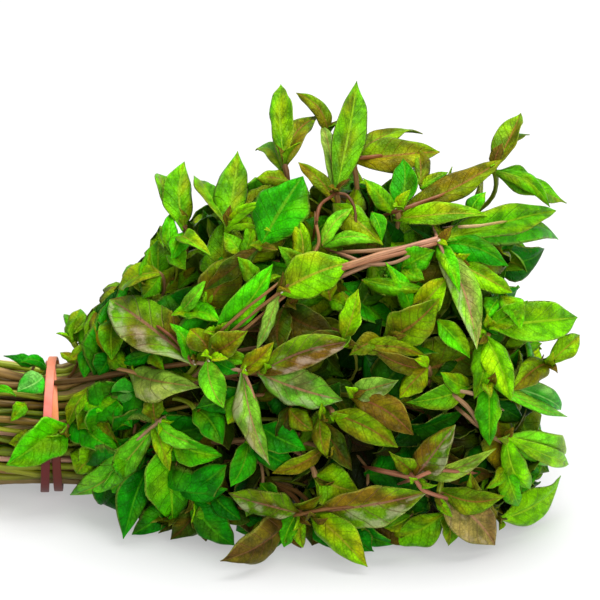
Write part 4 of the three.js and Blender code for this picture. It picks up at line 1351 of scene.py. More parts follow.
def add_blade(sheaf: MeshSheaf, blade: Blade, key: float) -> None:
    """Add a leaf's closed shell: a ring runs over the upper side and back under it at each row.

    The blade sways, twists and curls down towards its tip.

    Args:
        sheaf: what it is added to.
        blade: the leaf.
        key: its number, which the draws depend on.
    """
    form = BladeSurface(key)
    axis, up, side, length = blade.axes()
    s, t, over = blade_grid(blade.rows, blade.columns)
    share = leaf_outline(t, form.number(27, 0.8, 1.1), form.number(28, 0.8, 0.98))
    across = s * blade_width(blade, form, s, t, share)
    height = blade_rise(blade, form, s, t, share) + over * blade_thickness(s, t, over)
    upright = 1 - 0.95 * max(float(axis[1]) * VIEW_SIN + float(axis[2]) * VIEW_COS, 0.0)
    curl = form.number(6, -0.1, 0.6) * blade.wild * upright * length * np.clip(t - 0.55, 0, 1) ** 2
    twist = form.number(7, -0.95, 0.95) * blade.wild * (t - 0.3) * smooth_step(t, 0.0, 0.4)
    sway = form.number(8, -0.09, 0.09) * length * np.sin(np.pi * t)
    along_side = across * np.cos(twist) - height * np.sin(twist) + sway
    along_up = (across * np.sin(twist) + height * np.cos(twist) - curl
                + blade.arch * (0.3 + 0.7 * blade.wild) * length * np.sin(np.pi * t))
    grid = (blade.root + axis * (t * length)[..., None] + side * along_side[..., None]
            + up * along_up[..., None])
    place = np.stack(np.broadcast_arrays(0.5 + 0.5 * s, t), axis=-1)
    lower = -math.copysign(1.0, side[2])
    colours = blade_colours(blade.look, form, s, t, lower)
    # Painted shade: the colour is darkened by the leaf's dim
    colours[..., :3] *= blade.dim
    rib_colour = np.append(blade.look.rib * blade.dim, blade.look.veins)
    sheaf.add(grid, place, colours, blade_slots(blade.look, blade.columns), rib_colour)


def blade_colours(look: Look, form: BladeSurface, s: np.ndarray, t: np.ndarray,
                  lower: float) -> np.ndarray:
    """Return the linear colour of each point: green turning bronze in soft patches, under painted shade.

    The bronze gathers along the midrib or along the edge, by a draw, and in waves of two slants.
    The pale mottling, partly painted sheen, gathers on the half that hangs lower.

    Args:
        look: the leaf's colour family.
        form: its numbers.
        s: from -1 to 1 across it.
        t: from 0 to 1 along it.
        lower: the sign of s on the half that hangs lower.
    Returns:
        Three numbers of colour and one of pale mottling and painted sheen for each point.
    """
    centre = form.number(10, -0.5, 1.0)
    patches = (np.sin(form.number(11, 3, 8) * t + form.number(12, 1, 3) * s + form.number(13, 0, 6))
               + np.sin(form.number(14, 8, 15) * t - form.number(15, 2, 5) * s + form.number(16, 0, 6)))
    level = (look.turned + 0.22 * patches + 0.5 * centre * (0.5 - np.abs(s))
             + 0.25 * form.number(17, -1, 1) * (t - 0.5) + form.number(18, -0.18, 0.18)
             + 0.35 * form.number(19, -1, 1) * np.sign(s))
    turned_share = smooth_step(level, 0.1, 0.9)[..., None]
    colour = look.green * (1 - turned_share) + look.bronze * turned_share
    cloud = (np.sin(form.number(22, 9, 15) * t + form.number(23, 3, 7) * s + form.number(24, 0, 6))
             + np.sin(form.number(25, 18, 26) * t - form.number(26, 4, 9) * s))
    bloom_and_sheen = look.bloom_and_sheen * smooth_step(0.5 * cloud + 0.9 * s * lower, -0.3, 1.2)
    warm = np.array([form.number(20, 0.9, 1.2), 1.0, 1.0])
    # Painted shade: darker along the midrib's fold and towards the stalk, lighter towards the tip, and one
    # half darker than the other; the first factor is each leaf's own tone
    shade = (form.number(21, 0.72, 1.1) * (1 - 0.12 * np.exp(-40 * s ** 2))
             * (0.86 + 0.2 * t) * (1 + form.number(29, -0.14, 0.14) * np.sign(s)))
    return np.concatenate([colour * warm * shade[..., None], bloom_and_sheen[..., None]], axis=-1)


def blade_slots(look: Look, columns: int) -> np.ndarray:
    """Return the material of each column of quads: a pale leaf shows its underside's skin above."""
    if look is PALE:
        return np.full(2 * columns, LEAF_UNDER)
    return np.where(np.arange(2 * columns) < columns, LEAF_UPPER, LEAF_UNDER)


def frames_along(points: np.ndarray) -> tuple[np.ndarray, np.ndarray]:
    """Return two directions square to a path at each of its points: level, and square to both."""
    heading = np.gradient(points, axis=0)
    heading /= np.linalg.norm(heading, axis=1, keepdims=True)
    steep = np.abs(heading[:, 2:]) > 0.95
    up = np.where(steep, np.array([0.0, 1, 0]), np.array([0.0, 0, 1]))
    side = np.cross(heading, up)
    side /= np.linalg.norm(side, axis=1, keepdims=True)
    return side, np.cross(side, heading)


def add_tube(sheaf: MeshSheaf, points: np.ndarray, radii: np.ndarray, tint: np.ndarray, sides: int,
             slot: int) -> None:
    """Add a round stalk: a circle of the radius there is carried along the path.

    Args:
        sheaf: what it is added to.
        points: the path.
        radii: the radius at each point.
        tint: the linear colour at each point.
        sides: points round it.
        slot: the material number.
    """
    side, top = frames_along(points)
    angle = np.linspace(0, 2 * np.pi, sides, endpoint=False)
    circle = (np.cos(angle)[None, :, None] * side[:, None, :]
              + np.sin(angle)[None, :, None] * top[:, None, :])
    grid = points[:, None, :] + circle * radii[:, None, None]
    steps = np.concatenate([[0.0], np.cumsum(np.linalg.norm(np.diff(points, axis=0), axis=1))])
    place = np.stack(np.broadcast_arrays(angle[None, :] / (2 * np.pi), steps[:, None] / 10), axis=-1)
    whole = np.concatenate([tint, np.zeros((len(tint), 1))], axis=1)
    colours = np.broadcast_to(whole[:, None, :], (*grid.shape[:2], 4))
    sheaf.add(grid, place, colours, np.full(sides, slot))


@dataclass(frozen=True)
class StalkColours:
    """The colours that a stem takes, from its cut end to its young tip."""

    cut: tuple[str, ...] = (
        "#a0a428", "#ccb074", "#708010", "#c8987c", "#a8b430", "#785c20", "#84a414", "#a07c44", "#5c8810",
    )
    young: tuple[str, ...] = ("#8a6434", "#6c701c", "#947048", "#74502a", "#7c8c18")

    def at(self, x: np.ndarray, stem: float) -> np.ndarray:
        """Return the linear colour at each x of a stem, by its number.

        Args:
            x: along the bunch, in millimetres.
            stem: the stem's number.
        Returns:
            Three numbers for each x.
        """
        cut = self.cut[int(draw(stem, 41, 0) * len(self.cut))]
        young = self.young[int(draw(stem, 42, 0) * len(self.young))]
        share = smooth_step(x, 10.0 - 30 * draw(stem, 43, 0), 90.0)[:, None]
        base = rgb(cut) * (1 - share) + rgb(young) * share
        return base * (0.8 + 0.35 * np.sin(x / 17 + 6 * draw(stem, 44, 0)) ** 2)[:, None]


STALK_COLOURS = StalkColours()


def cut_end_wander(x: np.ndarray, stem: float, size: float) -> np.ndarray:
    """Return how far a stem strays sideways at each x: on the cut end's side of the band only."""
    loose = np.clip((-x - 7) / 22, 0, 1) * size
    across = np.sin(x / (13 + 9 * draw(stem, 46, 0)) + 6.28 * draw(stem, 47, 0))
    upright = np.sin(x / (12 + 9 * draw(stem, 48, 0)) + 6.28 * draw(stem, 49, 0))
    return np.stack([np.zeros_like(x), loose * across, loose * upright], axis=1)


def joint_swelling(x: np.ndarray, joints: Sequence[float]) -> np.ndarray:
    """Return the radius to add at x: a narrow bell at each joint."""
    bells = np.exp(-((x[:, None] - np.array(joints)[None, :]) / JOINT_HALF) ** 2)
    return JOINT_HEIGHT * bells.max(axis=1)


@dataclass
class LeafyStem:
    """One stem with its side shoots, leaves and buds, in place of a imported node."""

    growth: Growth
    shift: np.ndarray
    materials: Sequence[Material]
    sheaf: MeshSheaf = field(default_factory=MeshSheaf)

    def _course(self, step: float) -> np.ndarray:
        """Return points of the stem from its cut end to its tip, step millimetres apart in x."""
        i = self.growth.stem
        start, end = stem_stations(i)[0], stem_end(i)
        xs = np.arange(start, end + step, step)
        xs[-1] = end
        straight = np.array([stem_point(i, x) for x in xs])
        smooth = np.array([course_point(PLACES[i], x) for x in xs])
        return straight * 0.6 + smooth * 0.4 + cut_end_wander(xs, i, 1.6)

    def _grow_stem(self) -> None:
        """Add the stem itself, swollen at its joints."""
        i = self.growth.stem
        points = self._course(COURSE_STEP)
        x = points[:, 0]
        share = (x - x[0]) / (x[-1] - x[0])
        radii = STEM_RADIUS_CUT + (STEM_RADIUS_TIP - STEM_RADIUS_CUT) * share
        radii = radii * (0.72 + 0.4 * draw(i, 45, 0))
        joints = [stem_end(i) - 2 - n * LEAF_SPACING for n in range(STEM_JOINTS)]
        radii = radii + joint_swelling(x, joints)
        add_tube(self.sheaf, points, radii, STALK_COLOURS.at(x, i), 8, STALK)

    def _grow_twig(self, twig: Twig, radius: float, points_along: int, sides: int) -> None:
        """Add a side shoot on a quadratic curve through its bend, with a swollen joint at its end.

        Args:
            twig: the side shoot.
            radius: its radius.
            points_along: points of its path.
            sides: points round it.
        """
        t = 1 - (1 - np.linspace(0, 1, points_along)[:, None]) ** 1.6
        root, bend, end = twig.points
        control = 2 * bend - (root + end) / 2
        points = (1 - t) ** 2 * root + 2 * t * (1 - t) * control + t ** 2 * end
        radii = radius * (1 + 0.45 * np.exp(-((1 - t[:, 0]) * 9) ** 2))
        radii[-2:] *= (0.85, 0.3)
        tint = STALK_COLOURS.at(points[:, 0] + 60, twig.stem + twig.points[2][0])
        add_tube(self.sheaf, points, radii, tint, sides, STALK)

    def _grow_buds(self, point: np.ndarray, count: int, key: float) -> None:
        """Add cream buds in the leaf axils, each a small egg shape."""
        for n in range(count):
            lean = unit(np.array([draw(key, 51, n) - 0.5, draw(key, 52, n) - 1.1, draw(key, 53, n) - 0.1]))
            t = np.linspace(0.06, 0.94, 6)
            path = point + lean * BUD_LENGTH / 2 + lean * (t[:, None] - 0.5) * BUD_LENGTH
            tint = np.tile(rgb(BUD_COLOUR), (len(t), 1))
            add_tube(self.sheaf, path, BUD_RADIUS * np.sin(np.pi * t) ** 0.7, tint, 6, BUD)

    def build(self) -> Object:
        """Return the finished piece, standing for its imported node."""
        i = self.growth.stem
        self._grow_stem()
        for twig in self.growth.twigs:
            self._grow_twig(twig, TWIG_RADIUS, 12, 8)
        for twig in self.growth.thin_twigs:
            self._grow_twig(twig, THIN_TWIG_RADIUS, 7, 5)
        for n, blade in enumerate(self.growth.blades):
            add_blade(self.sheaf, blade, i * 100 + n)
        for n, (point, count) in enumerate(self.growth.buds):
            self._grow_buds(point, count, i * 10 + n)
        piece = self.sheaf.build(f"joyweed_stem_{i + 1:02d}", self.materials, self.shift)
        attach(piece, "root")
        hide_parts(node_name(i))
        return piece


def smooth_path(points: np.ndarray, steps: int) -> np.ndarray:
    """Return a path through points: a Catmull-Rom spline with so many steps between two points."""
    ends = np.concatenate([[2 * points[0] - points[1]], points, [2 * points[-1] - points[-2]]])
    runs = []
    t = np.linspace(0, 1, steps, endpoint=False)[:, None]
    for a, b, c, d in zip(ends, ends[1:], ends[2:], ends[3:]):
        runs.append(0.5 * (2 * b + (c - a) * t + (2 * a - 5 * b + 4 * c - d) * t ** 2
                           + (3 * b - a - 3 * c + d) * t ** 3))
    return np.concatenate([*runs, points[-1:]])


@dataclass
class BareShoots:
    """The bare lengths of side shoots that show at the front, coming out from between the stems.

    Each starts and ends behind the leaves: so many millimetres on, and so many deeper.
    """

    shift: np.ndarray
    materials: Sequence[Material]
    behind: tuple[float, float] = (8, 16)
    beyond: tuple[float, float] = (6, 12)

    def build(self) -> Object:
        """Return one piece of all of them."""
        sheaf = MeshSheaf()
        for trail in TRAILS:
            line = [view_point(across, down, front_depth(across, down) - SHOOT_DEPTH + trail.lift)
                    for across, down in trail.line]
            inwards = np.array([0.0, VIEW_COS, -VIEW_SIN])
            behind = line[0] + unit(line[0] - line[1]) * self.behind[0] + inwards * self.behind[1]
            beyond = line[-1] + unit(line[-1] - line[-2]) * self.beyond[0] + inwards * self.beyond[1]
            points = smooth_path(np.array([behind, *line, beyond]), 6)
            points[:, 2] = np.maximum(points[:, 2], trail.radius[0])
            share = np.linspace(0, 1, len(points))
            radii = trail.radius[0] + (trail.radius[1] - trail.radius[0]) * share
            radii *= 0.5 + 0.5 * smooth_step(share, 0.0, 0.2) * smooth_step(1 - share, 0.0, 0.25)
            knots = np.exp(-((share - 0.85) * 16) ** 2) + 0.5 * np.exp(-((share - 0.45) * 18) ** 2)
            start, stop = (rgb(colour) for colour in trail.colour)
            tint = start + (stop - start) * share[:, None]
            add_tube(sheaf, points, radii * (1 + 0.35 * knots), tint, 9, STALK)
        piece = sheaf.build("joyweed_bare_shoots", self.materials, self.shift)
        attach(piece, "root")
        return piece


@dataclass
class InnerStems:
    """The bare lower lengths of more stems, which close the bundle between the leafy ones."""

    shift: np.ndarray
    materials: Sequence[Material]
    count: int = 130
    clear: float = 0.12
    step: float = 6.0
    radius: tuple[float, float] = (1.9, 1.3)

    def build(self) -> Object:
        """Return one piece of all the bare lengths."""
        sheaf = MeshSheaf()
        for n, place in enumerate(sunflower(self.count, self.count)):
            gap = min(math.hypot(place.side - other.side, place.up - other.up) for other in PLACES)
            if gap < self.clear:
                continue
            xs = np.arange(CUT_END_X + CUT_STAGGER * draw(n, 91, 0), 70 + 60 * draw(n, 92, 0), self.step)
            points = np.array([course_point(place, x) for x in xs])
            inner = np.clip(1.3 - place.reach, 0, 1)
            points[:, 2] += 1.1 * np.sin(xs / 19 + 6.28 * draw(n, 93, 0)) * inner
            points[:, 1] += 0.8 * np.cos(xs / 23 + 6.28 * draw(n, 94, 0)) * inner
            points += cut_end_wander(xs, n + 60, 2.8)
            radii = np.linspace(*self.radius, len(xs)) * (0.55 + 0.65 * draw(n, 95, 0))
            add_tube(sheaf, points, radii, STALK_COLOURS.at(xs, n + 200), 7, STALK)
        piece = sheaf.build("joyweed_inner_stems", self.materials, self.shift)
        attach(piece, "root")
        return piece


@dataclass
class RubberBand:
    """The band: one flat strip wound twice, side by side below and one over the other on top."""

    shift: np.ndarray
    material: Material
    steps: int = 288
    sides: int = 20
    squareness: float = 2 / 7
    crown: float = 0.6

    def build(self) -> Object:
        """Return the finished band: a rounded strip section carried round both turns."""
        angle = np.linspace(0, 4 * np.pi, self.steps, endpoint=False)
        around = np.linspace(0, 2 * np.pi, self.sides, endpoint=False)
        dx = BAND_WIDTH / 2 * np.sign(np.cos(around)) * np.abs(np.cos(around)) ** self.squareness
        dr = BAND_THICKNESS / 2 * np.sign(np.sin(around)) * np.abs(np.sin(around)) ** self.crown
        x = BAND_SPREAD * np.cos(angle / 2)[:, None] + dx[None, :]
        radius = (BAND_RADIUS + BAND_LAYER * np.sin(angle / 2))[:, None] + dr[None, :]
        grid = np.stack([x, radius * np.sin(angle)[:, None],
                         BAND_MIDDLE_Z - radius * np.cos(angle)[:, None]], axis=-1)
        faces = loft_faces(self.steps + 1, len(around)) % (self.steps * len(around))
        points = (grid.reshape(-1, 3) + self.shift) * MM
        mesh = bpy.data.meshes.new("joyweed_band")
        mesh.from_pydata(points.tolist(), [], faces.tolist())
        mesh.polygons.foreach_set("use_smooth", np.ones(len(faces), dtype=bool))
        share = 0.5 + 0.5 * np.cos(angle / 2)
        attribute = mesh.attributes.new("turn", "FLOAT", "POINT")
        attribute.data.foreach_set("value", np.repeat(share, len(around)).astype(np.float32))
        mesh.materials.append(self.material)
        piece = new_object("joyweed_band", mesh)
        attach(piece, "root")
        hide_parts("rubber_band")
        return piece


class Shader:
    """A material in the making: its node tree and its Principled node, the skin."""

    def __init__(self, name: str) -> None:
        """Start a material of this name."""
        self.material = bpy.data.materials.new(name)
        self.material.use_nodes = True
        self.tree = self.material.node_tree
        self.skin = self.tree.nodes["Principled BSDF"]

    def feed(self, socket: NodeSocket, value: object) -> None:
        """Give an input a value, or link it to an output."""
        if isinstance(value, NodeSocket):
            self.tree.links.new(value, socket)
        else:
            socket.default_value = value

    def dress(self, values: dict[str, object]) -> None:
        """Feed the skin's inputs by name."""
        for name, value in values.items():
            self.feed(self.skin.inputs[name], value)

    def node(self, kind: str, settings: dict[str | int, object] | None = None) -> Node:
        """Add a shader node.

        Args:
            kind: the node's type name.
            settings: attributes of the node, and what feeds its inputs, by name or number.
        Returns:
            The node.
        """
        node = self.tree.nodes.new(kind)
        for name, value in (settings or {}).items():
            if isinstance(name, str) and hasattr(node, name):
                setattr(node, name, value)
            else:
                self.feed(node.inputs[name], value)
        return node

    def maths(self, operation: str, *values: object) -> NodeSocket:
        """Return the result of one sum on sockets and numbers."""
        return self.node("ShaderNodeMath", {"operation": operation, **dict(enumerate(values))}).outputs[0]

    def ramp(self, value: NodeSocket, low: float, high: float) -> NodeSocket:
        """Return a value's smooth rise from 0 at low to 1 at high, where low may be the greater."""
        settings = {"interpolation_type": "SMOOTHSTEP", 0: value, 1: low, 2: high}
        return self.node("ShaderNodeMapRange", settings).outputs[0]

    def blend(self, share: object, a: object, b: object, how: str = "MIX") -> NodeSocket:
        """Return two colours mixed by a share, each a socket or a linear colour."""
        settings = {"data_type": "RGBA", "blend_type": how, 0: share, 6: a, 7: b}
        return self.node("ShaderNodeMix", settings).outputs[2]

    def times(self, colour: object, factors: Triple) -> NodeSocket:
        """Return a colour with its red, green and blue multiplied by a factor each."""
        return self.blend(1.0, colour, (*factors, 1.0), "MULTIPLY")

    def attribute(self, name: str) -> bpy_prop_collection:
        """Return what an attribute of the mesh gives: Color, Alpha and Fac."""
        return self.node("ShaderNodeAttribute", {"attribute_name": name}).outputs

    def own_place(self) -> NodeSocket:
        """Return a point's place in its object, in metres."""
        return self.node("ShaderNodeTexCoord").outputs["Object"]

    def axes(self, place: NodeSocket) -> bpy_prop_collection:
        """Return the three numbers of a place."""
        return self.node("ShaderNodeSeparateXYZ", {0: place}).outputs

    def mesh_place(self) -> bpy_prop_collection:
        """Return a point's place across and along its surface, which the mesh carries."""
        return self.axes(self.node("ShaderNodeUVMap", {"uv_map": "pattern"}).outputs[0])

    def noise(self, place: NodeSocket, scale: float, detail: float, roughness: float = 0.5) -> NodeSocket:
        """Return a cloudy pattern of scale cells a metre, with detail finer layers."""
        settings = {"Scale": scale, "Detail": detail, "Roughness": roughness, "Vector": place}
        return self.node("ShaderNodeTexNoise", settings).outputs[0]

    def relief(self, height: NodeSocket, strength: float, depth: float) -> NodeSocket:
        """Return the slopes of a surface raised by a pattern of a depth in metres."""
        settings = {"Strength": strength, "Distance": depth, "Height": height}
        return self.node("ShaderNodeBump", settings).outputs[0]


@dataclass(frozen=True)
class LeafFinish:
    """A living herb leaf: a satin skin over soft green flesh, with a sunken vein net.

    The veins are paler or red-brown lines, about 0.4 mm wide with 4 mm between side veins. The
    blotches, specks, grain and net are counted by the metre. Dark, light, sunken and rim_light
    are what the green is multiplied by there; the darkening along the sunken net is painted shade.
    The pale mottling of bloom_and_sheen_colour is partly painted sheen.

    Args:
        name: the material's name.
        under: whether it is the skin of the underside, which is paler and rougher.
        depth: the depth of its relief, in metres.
    """

    name: str
    under: bool
    roughness: float = 0.38
    specular: float = 0.06
    blotches: float = 110.0
    specks: float = 380.0
    grain: float = 1100.0
    net: float = 620.0
    dark: Triple = (0.46, 0.54, 0.4)
    light: Triple = (1.25, 1.28, 1.1)
    sunken: Triple = (0.55, 0.6, 0.5)
    rim_light: Triple = (1.5, 1.4, 1.3)
    under_colour: str = "#6c9020"
    bloom_and_sheen_colour: str = "#bcaa9c"
    rim_colour: str = "#bcc850"
    depth: float = 0.0008

    def material(self) -> Material:
        """Return the leaf material."""
        leaf = Shader(self.name)
        maths, blend = leaf.maths, leaf.blend
        across, far = leaf.mesh_place()[:2]
        aside = maths("ABSOLUTE", maths("MULTIPLY_ADD", across, 2.0, -1.0))
        tint, ribs = leaf.attribute("tint"), leaf.attribute("rib")
        place = leaf.own_place()
        mottle = leaf.noise(place, self.blotches, 4.0, 0.62)
        fine = leaf.noise(place, self.grain, 2.0)
        specks = leaf.noise(place, self.specks, 5.0, 0.7)
        cells = leaf.node("ShaderNodeTexVoronoi",
                          {"feature": "DISTANCE_TO_EDGE", "Scale": self.net, "Vector": place})
        net = leaf.ramp(cells.outputs["Distance"], 0.12, 0.02)
        lines = maths("MULTIPLY_ADD", far, VEIN_PAIRS, maths("MULTIPLY", aside, -VEIN_SLANT))
        side_vein = leaf.ramp(maths("ABSOLUTE", maths("SUBTRACT", maths("FRACT", lines), 0.5)), 0.42, 0.49)

        # The blotched green, with painted shade along the sunken net, and the pale mottling, partly
        # painted sheen, over it
        base = tint["Color"]
        if self.under:
            base = blend(0.3, base, linear(self.under_colour))
        lighter = leaf.times(base, self.light)
        body = blend(leaf.ramp(mottle, 0.34, 0.66), leaf.times(base, self.dark), lighter)
        # Painted shade: the green darkened in the sunken net, also the base of the side veins
        shaded = leaf.times(body, self.sunken)
        body = blend(maths("MULTIPLY", net, 0.45), body, shaded)
        # Pale mottling and painted sheen, in the leaf's share and in specks over every leaf
        clouds = maths("MULTIPLY_ADD", tint["Alpha"], 0.9, specks)
        bloom_and_sheen = maths("MULTIPLY", leaf.ramp(clouds, 0.7, 1.3), 0.75)
        body = blend(bloom_and_sheen, body, blend(0.6, lighter, linear(self.bloom_and_sheen_colour)))

        # The side veins, the midrib and the rim
        vein = blend(maths("MULTIPLY", ribs["Alpha"], 0.8), shaded, ribs["Color"])
        strength = maths("MULTIPLY_ADD", ribs["Alpha"], 0.45, 0.3)
        body = blend(maths("MULTIPLY", side_vein, strength), body, vein)
        body = blend(maths("MULTIPLY", leaf.ramp(aside, 0.09, 0.025), 0.8), body, ribs["Color"])
        rim = blend(0.6, leaf.times(body, self.rim_light), linear(self.rim_colour))
        body = blend(maths("MULTIPLY", leaf.ramp(aside, 0.88, 0.98), 0.55), body, rim)

        # The veins lie sunken between raised blotches
        relief = maths("MULTIPLY_ADD", side_vein, -0.9, maths("MULTIPLY", fine, 0.25))
        for pattern, share in ((mottle, 1.6), (specks, 0.5), (net, -0.35)):
            relief = maths("MULTIPLY_ADD", pattern, share, relief)
        least = self.roughness - 0.2 + (0.25 if self.under else 0.0)
        leaf.dress({
            "Base Color": body,
            "Roughness": maths("MULTIPLY_ADD", mottle, 0.4, least),
            "Specular IOR Level": self.specular,
            "Normal": leaf.relief(relief, 0.7, self.depth),
        })
        return leaf.material


@dataclass(frozen=True)
class StalkFinish:
    """A herb's stalk: ribbed satin skin, olive to red-brown, pale in streaks, with painted shade low down.

    Spots are counted by the metre. Dark, light and wet are what its colour is multiplied by
    between the ribs, on them, and low down, between the two heights of painted_low_shade_range in metres.
    The darkening low down is painted shade, where the bunch lies on the floor; the pale streaks are
    partly the skin's own and partly painted highlight.
    """

    name: str = "joyweed_stalk_skin"
    ribs: int = 7
    spots: float = 160.0
    dark: Triple = (0.4, 0.4, 0.32)
    light: Triple = (1.35, 1.4, 1.4)
    painted_low_shade: Triple = (0.3, 0.26, 0.2)
    painted_low_shade_range: tuple[float, float] = (0.026, 0.006)
    roughness: float = 0.42
    specular: float = 0.2
    depth: float = 0.0003

    def material(self) -> Material:
        """Return the stalk material."""
        stalk = Shader(self.name)
        maths = stalk.maths
        tint, place = stalk.attribute("tint")["Color"], stalk.own_place()
        spots = stalk.noise(place, self.spots, 3.0)
        ribs = maths("SINE", maths("MULTIPLY", stalk.mesh_place()[0], 2 * math.pi * self.ribs))
        ribs = maths("MULTIPLY_ADD", ribs, 0.5, 0.5)
        # The pale streaks on the ribs and in spots are partly the skin's own and partly painted highlight
        share = maths("MULTIPLY_ADD", ribs, 0.35, maths("MULTIPLY", spots, 0.65))
        colour = stalk.blend(share, stalk.times(tint, self.dark), stalk.times(tint, self.light))
        # Painted shade: darker low down, where the bunch lies on the floor
        low = maths("MULTIPLY", stalk.ramp(stalk.axes(place)[2], *self.painted_low_shade_range), 0.85)
        stalk.dress({
            "Base Color": stalk.blend(low, colour, stalk.times(colour, self.painted_low_shade)),
            "Roughness": self.roughness,
            "Specular IOR Level": self.specular,
            "Normal": stalk.relief(share, 0.4, self.depth),
        })
        return stalk.material


@dataclass(frozen=True)
class BudFinish:
    """A papery cream flower bud, matt and mottled at its scales, which are counted by the metre."""

    name: str = "joyweed_bud_paper"
    scales: float = 700.0
    dark: str = "#cfc892"
    light: str = "#f6f2de"
    roughness: float = 0.6

    def material(self) -> Material:
        """Return the bud material."""
        bud = Shader(self.name)
        scales = bud.noise(bud.own_place(), self.scales, 2.0)
        bud.dress({
            "Base Color": bud.blend(scales, linear(self.dark), linear(self.light)),
            "Roughness": self.roughness,
        })
        return bud.material


@dataclass(frozen=True)
class RubberFinish:
    """Cut natural-rubber band: satin, salmon pink with an amber turn, and painted shade in dark red low
    down.

    It is worn pale in specks of dust, counted by the metre, and darkened by painted shade low down,
    between the two heights of painted_low_shade_range in metres. A little light passes into it, to a depth
    of glow_depth.
    """

    name: str = "natural_rubber_salmon"
    pink: str = "#e45064"
    amber: str = "#d8940c"
    worn: str = "#f8bcb4"
    painted_low_shade: str = "#540804"
    painted_low_shade_range: tuple[float, float] = (0.042, 0.03)
    dust: float = 260.0
    specular: float = 0.3
    depth: float = 0.0002
    glow: float = 0.1
    glow_depth: float = 0.002

    def material(self) -> Material:
        """Return the rubber material."""
        rubber = Shader(self.name)
        place = rubber.own_place()
        dust = rubber.noise(place, self.dust, 4.0)
        colour = rubber.blend(rubber.attribute("turn")["Fac"], linear(self.pink), linear(self.amber))
        worn = rubber.blend(rubber.maths("MULTIPLY", dust, 0.35), colour, linear(self.worn))
        # Painted shade: dark red low down, under the leaves
        painted_low_shade = rubber.maths("MULTIPLY", rubber.ramp(rubber.axes(place)[2], *self.painted_low_shade_range), 0.97)
        rubber.dress({
            "Base Color": rubber.blend(painted_low_shade, worn, linear(self.painted_low_shade)),
            "Roughness": rubber.maths("MULTIPLY_ADD", dust, 0.2, 0.35),
            "Specular IOR Level": self.specular,
            "Subsurface Weight": self.glow,
            "Subsurface Scale": self.glow_depth,
            "Normal": rubber.relief(dust, 0.3, self.depth),
        })
        return rubber.material


@dataclass(frozen=True)
class Lamp:
    """A soft square lamp: its place from the head's middle and its side in metres, its watts."""

    name: str
    place: Triple
    size: float
    power: float


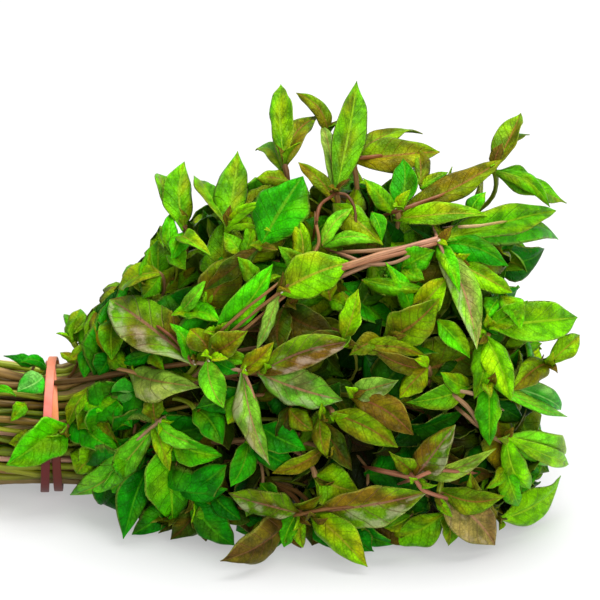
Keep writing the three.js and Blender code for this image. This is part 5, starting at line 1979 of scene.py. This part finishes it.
@dataclass
class Studio:
    """A white floor, soft light from above and the front right, and the camera at the picture's angle.

    Args:
        shift: the place of the band's middle in the shared frame, in millimetres.
        distance: how far off the camera stands, in metres.
        reference_depth: how near the viewer the point is that it looks at, in millimetres.
        floor_half, floor_grey, floor_glow: half the floor's side in metres, how much light it
        gives back, and how brightly it shines of itself, so that it stays white; the glow is
        painted light, which also lifts the shadows on it.
        sky: how bright the white sky is.
        aim: the head's middle from the band's, in metres.
        lamps: a large key lamp above, a weak one behind and a soft one at the front right.
    """

    shift: np.ndarray
    distance: float = 8.0
    reference_depth: float = 70.0
    floor_half: float = 6.0
    floor_grey: float = 0.42
    floor_glow: float = 0.4
    sky: float = 0.38
    aim: Triple = (0.1, 0.0, 0.06)
    lamps: tuple[Lamp, ...] = (
        Lamp("key", (0.2, 0.1, 1.4), 1.1, 25.5),
        Lamp("top", (0.4, 0.8, 1.2), 1.0, 5.0),
        Lamp("front", (0.55, -1.5, 0.8), 1.2, 18.5),
    )

    def build(self) -> None:
        """Make the floor, the lights, the sky and the camera."""
        self._floor()
        self._sky()
        self._lamps()
        self._camera()

    def _floor(self) -> None:
        """Lay a wide white floor just under the bunch, faintly glowing of itself as painted light that
        lifts its shadows.
        """
        mesh = bpy.data.meshes.new("floor")
        half = self.floor_half
        mesh.from_pydata([(-half, -half, 0), (half, -half, 0), (half, half, 0), (-half, half, 0)], [],
                         [(0, 1, 2, 3)])
        floor = new_object("floor", mesh)
        white = Shader("floor_white")
        white.dress({
            "Base Color": (self.floor_grey, self.floor_grey, self.floor_grey, 1),
            "Roughness": 0.9,
            "Emission Color": (1, 1, 1, 1),
            "Emission Strength": self.floor_glow,
        })
        mesh.materials.append(white.material)

    def _sky(self) -> None:
        """Put an even white sky over everything, and show colours as they are."""
        world = bpy.data.worlds.new("sky")
        world.use_nodes = True
        background = world.node_tree.nodes["Background"]
        background.inputs["Color"].default_value = (1, 1, 1, 1)
        background.inputs["Strength"].default_value = self.sky
        bpy.context.scene.world = world
        bpy.context.scene.view_settings.view_transform = "Standard"
        bpy.context.scene.view_settings.look = "None"

    def _lamps(self) -> None:
        """Hang the lamps, all turned to the head's middle."""
        middle = Vector((self.shift * MM).tolist()) + Vector(self.aim)
        for lamp in self.lamps:
            light = bpy.data.lights.new(lamp.name, "AREA")
            light.size = lamp.size
            light.energy = lamp.power
            obj = new_object(lamp.name, light)
            obj.location = middle + Vector(lamp.place)
            obj.rotation_euler = (middle - obj.location).to_track_quat("-Z", "Y").to_euler()

    def _camera(self) -> None:
        """Stand the camera far off on a long lens, so that the picture's scale holds at all depths."""
        half = VIEW_SIZE / 2
        target = (view_point(half, half, self.reference_depth) + self.shift) * MM
        towards = np.array([0.0, -VIEW_COS, VIEW_SIN])
        camera = bpy.data.cameras.new("camera")
        camera.sensor_width = 36.0
        camera.lens = camera.sensor_width * self.distance / (VIEW_SIZE * VIEW_UNIT * MM)
        camera.clip_end = 50
        obj = new_object("camera", camera)
        obj.location = Vector(target.tolist()) + Vector((towards * self.distance).tolist())
        obj.rotation_euler = (math.pi / 2 - VIEW_ELEVATION, 0, 0)
        bpy.context.scene.camera = obj


def band_shift() -> np.ndarray:
    """Return where the band's middle, on the surface, stands in the shared frame, in millimetres."""
    low, high = (np.array(corner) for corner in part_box("rubber_band"))
    return np.array([(low[0] + high[0]) / 2, (low[1] + high[1]) / 2, 0.0]) / MM


def main() -> None:
    """Build the studio, then the bunch piece by piece, and log what each piece holds."""
    logging.basicConfig(level=logging.INFO, format="%(message)s")
    shift = band_shift()
    Studio(shift).build()
    materials = (
        LeafFinish("joyweed_leaf_upper", False).material(),
        LeafFinish("joyweed_leaf_under", True).material(),
        StalkFinish().material(),
        BudFinish().material(),
    )
    found = FoundBunch(PackedCorners(frame["nodes"], shift))
    growths = found.find()
    LOG.info("leaves of smaller sprigs: %d", grow_small_sprigs(growths))
    LOG.info("small leaves: %d", Fill().grow(growths))
    bare = BareShoots(shift, materials).build()
    LOG.info("%s: %d faces", bare.name, len(bare.data.polygons))
    inner = InnerStems(shift, materials).build()
    LOG.info("%s: %d faces", inner.name, len(inner.data.polygons))
    for growth in growths:
        piece = LeafyStem(growth, shift, materials).build()
        LOG.info("%s: %d side shoots, %d leaves, %d faces", piece.name, len(growth.twigs),
                 len(growth.blades), len(piece.data.polygons))
    LOG.info("shown leaves not found: %d", found.missed)
    band = RubberBand(shift, RubberFinish().material()).build()
    LOG.info("%s: %d faces", band.name, len(band.data.polygons))


if __name__ == "__main__":
    main()
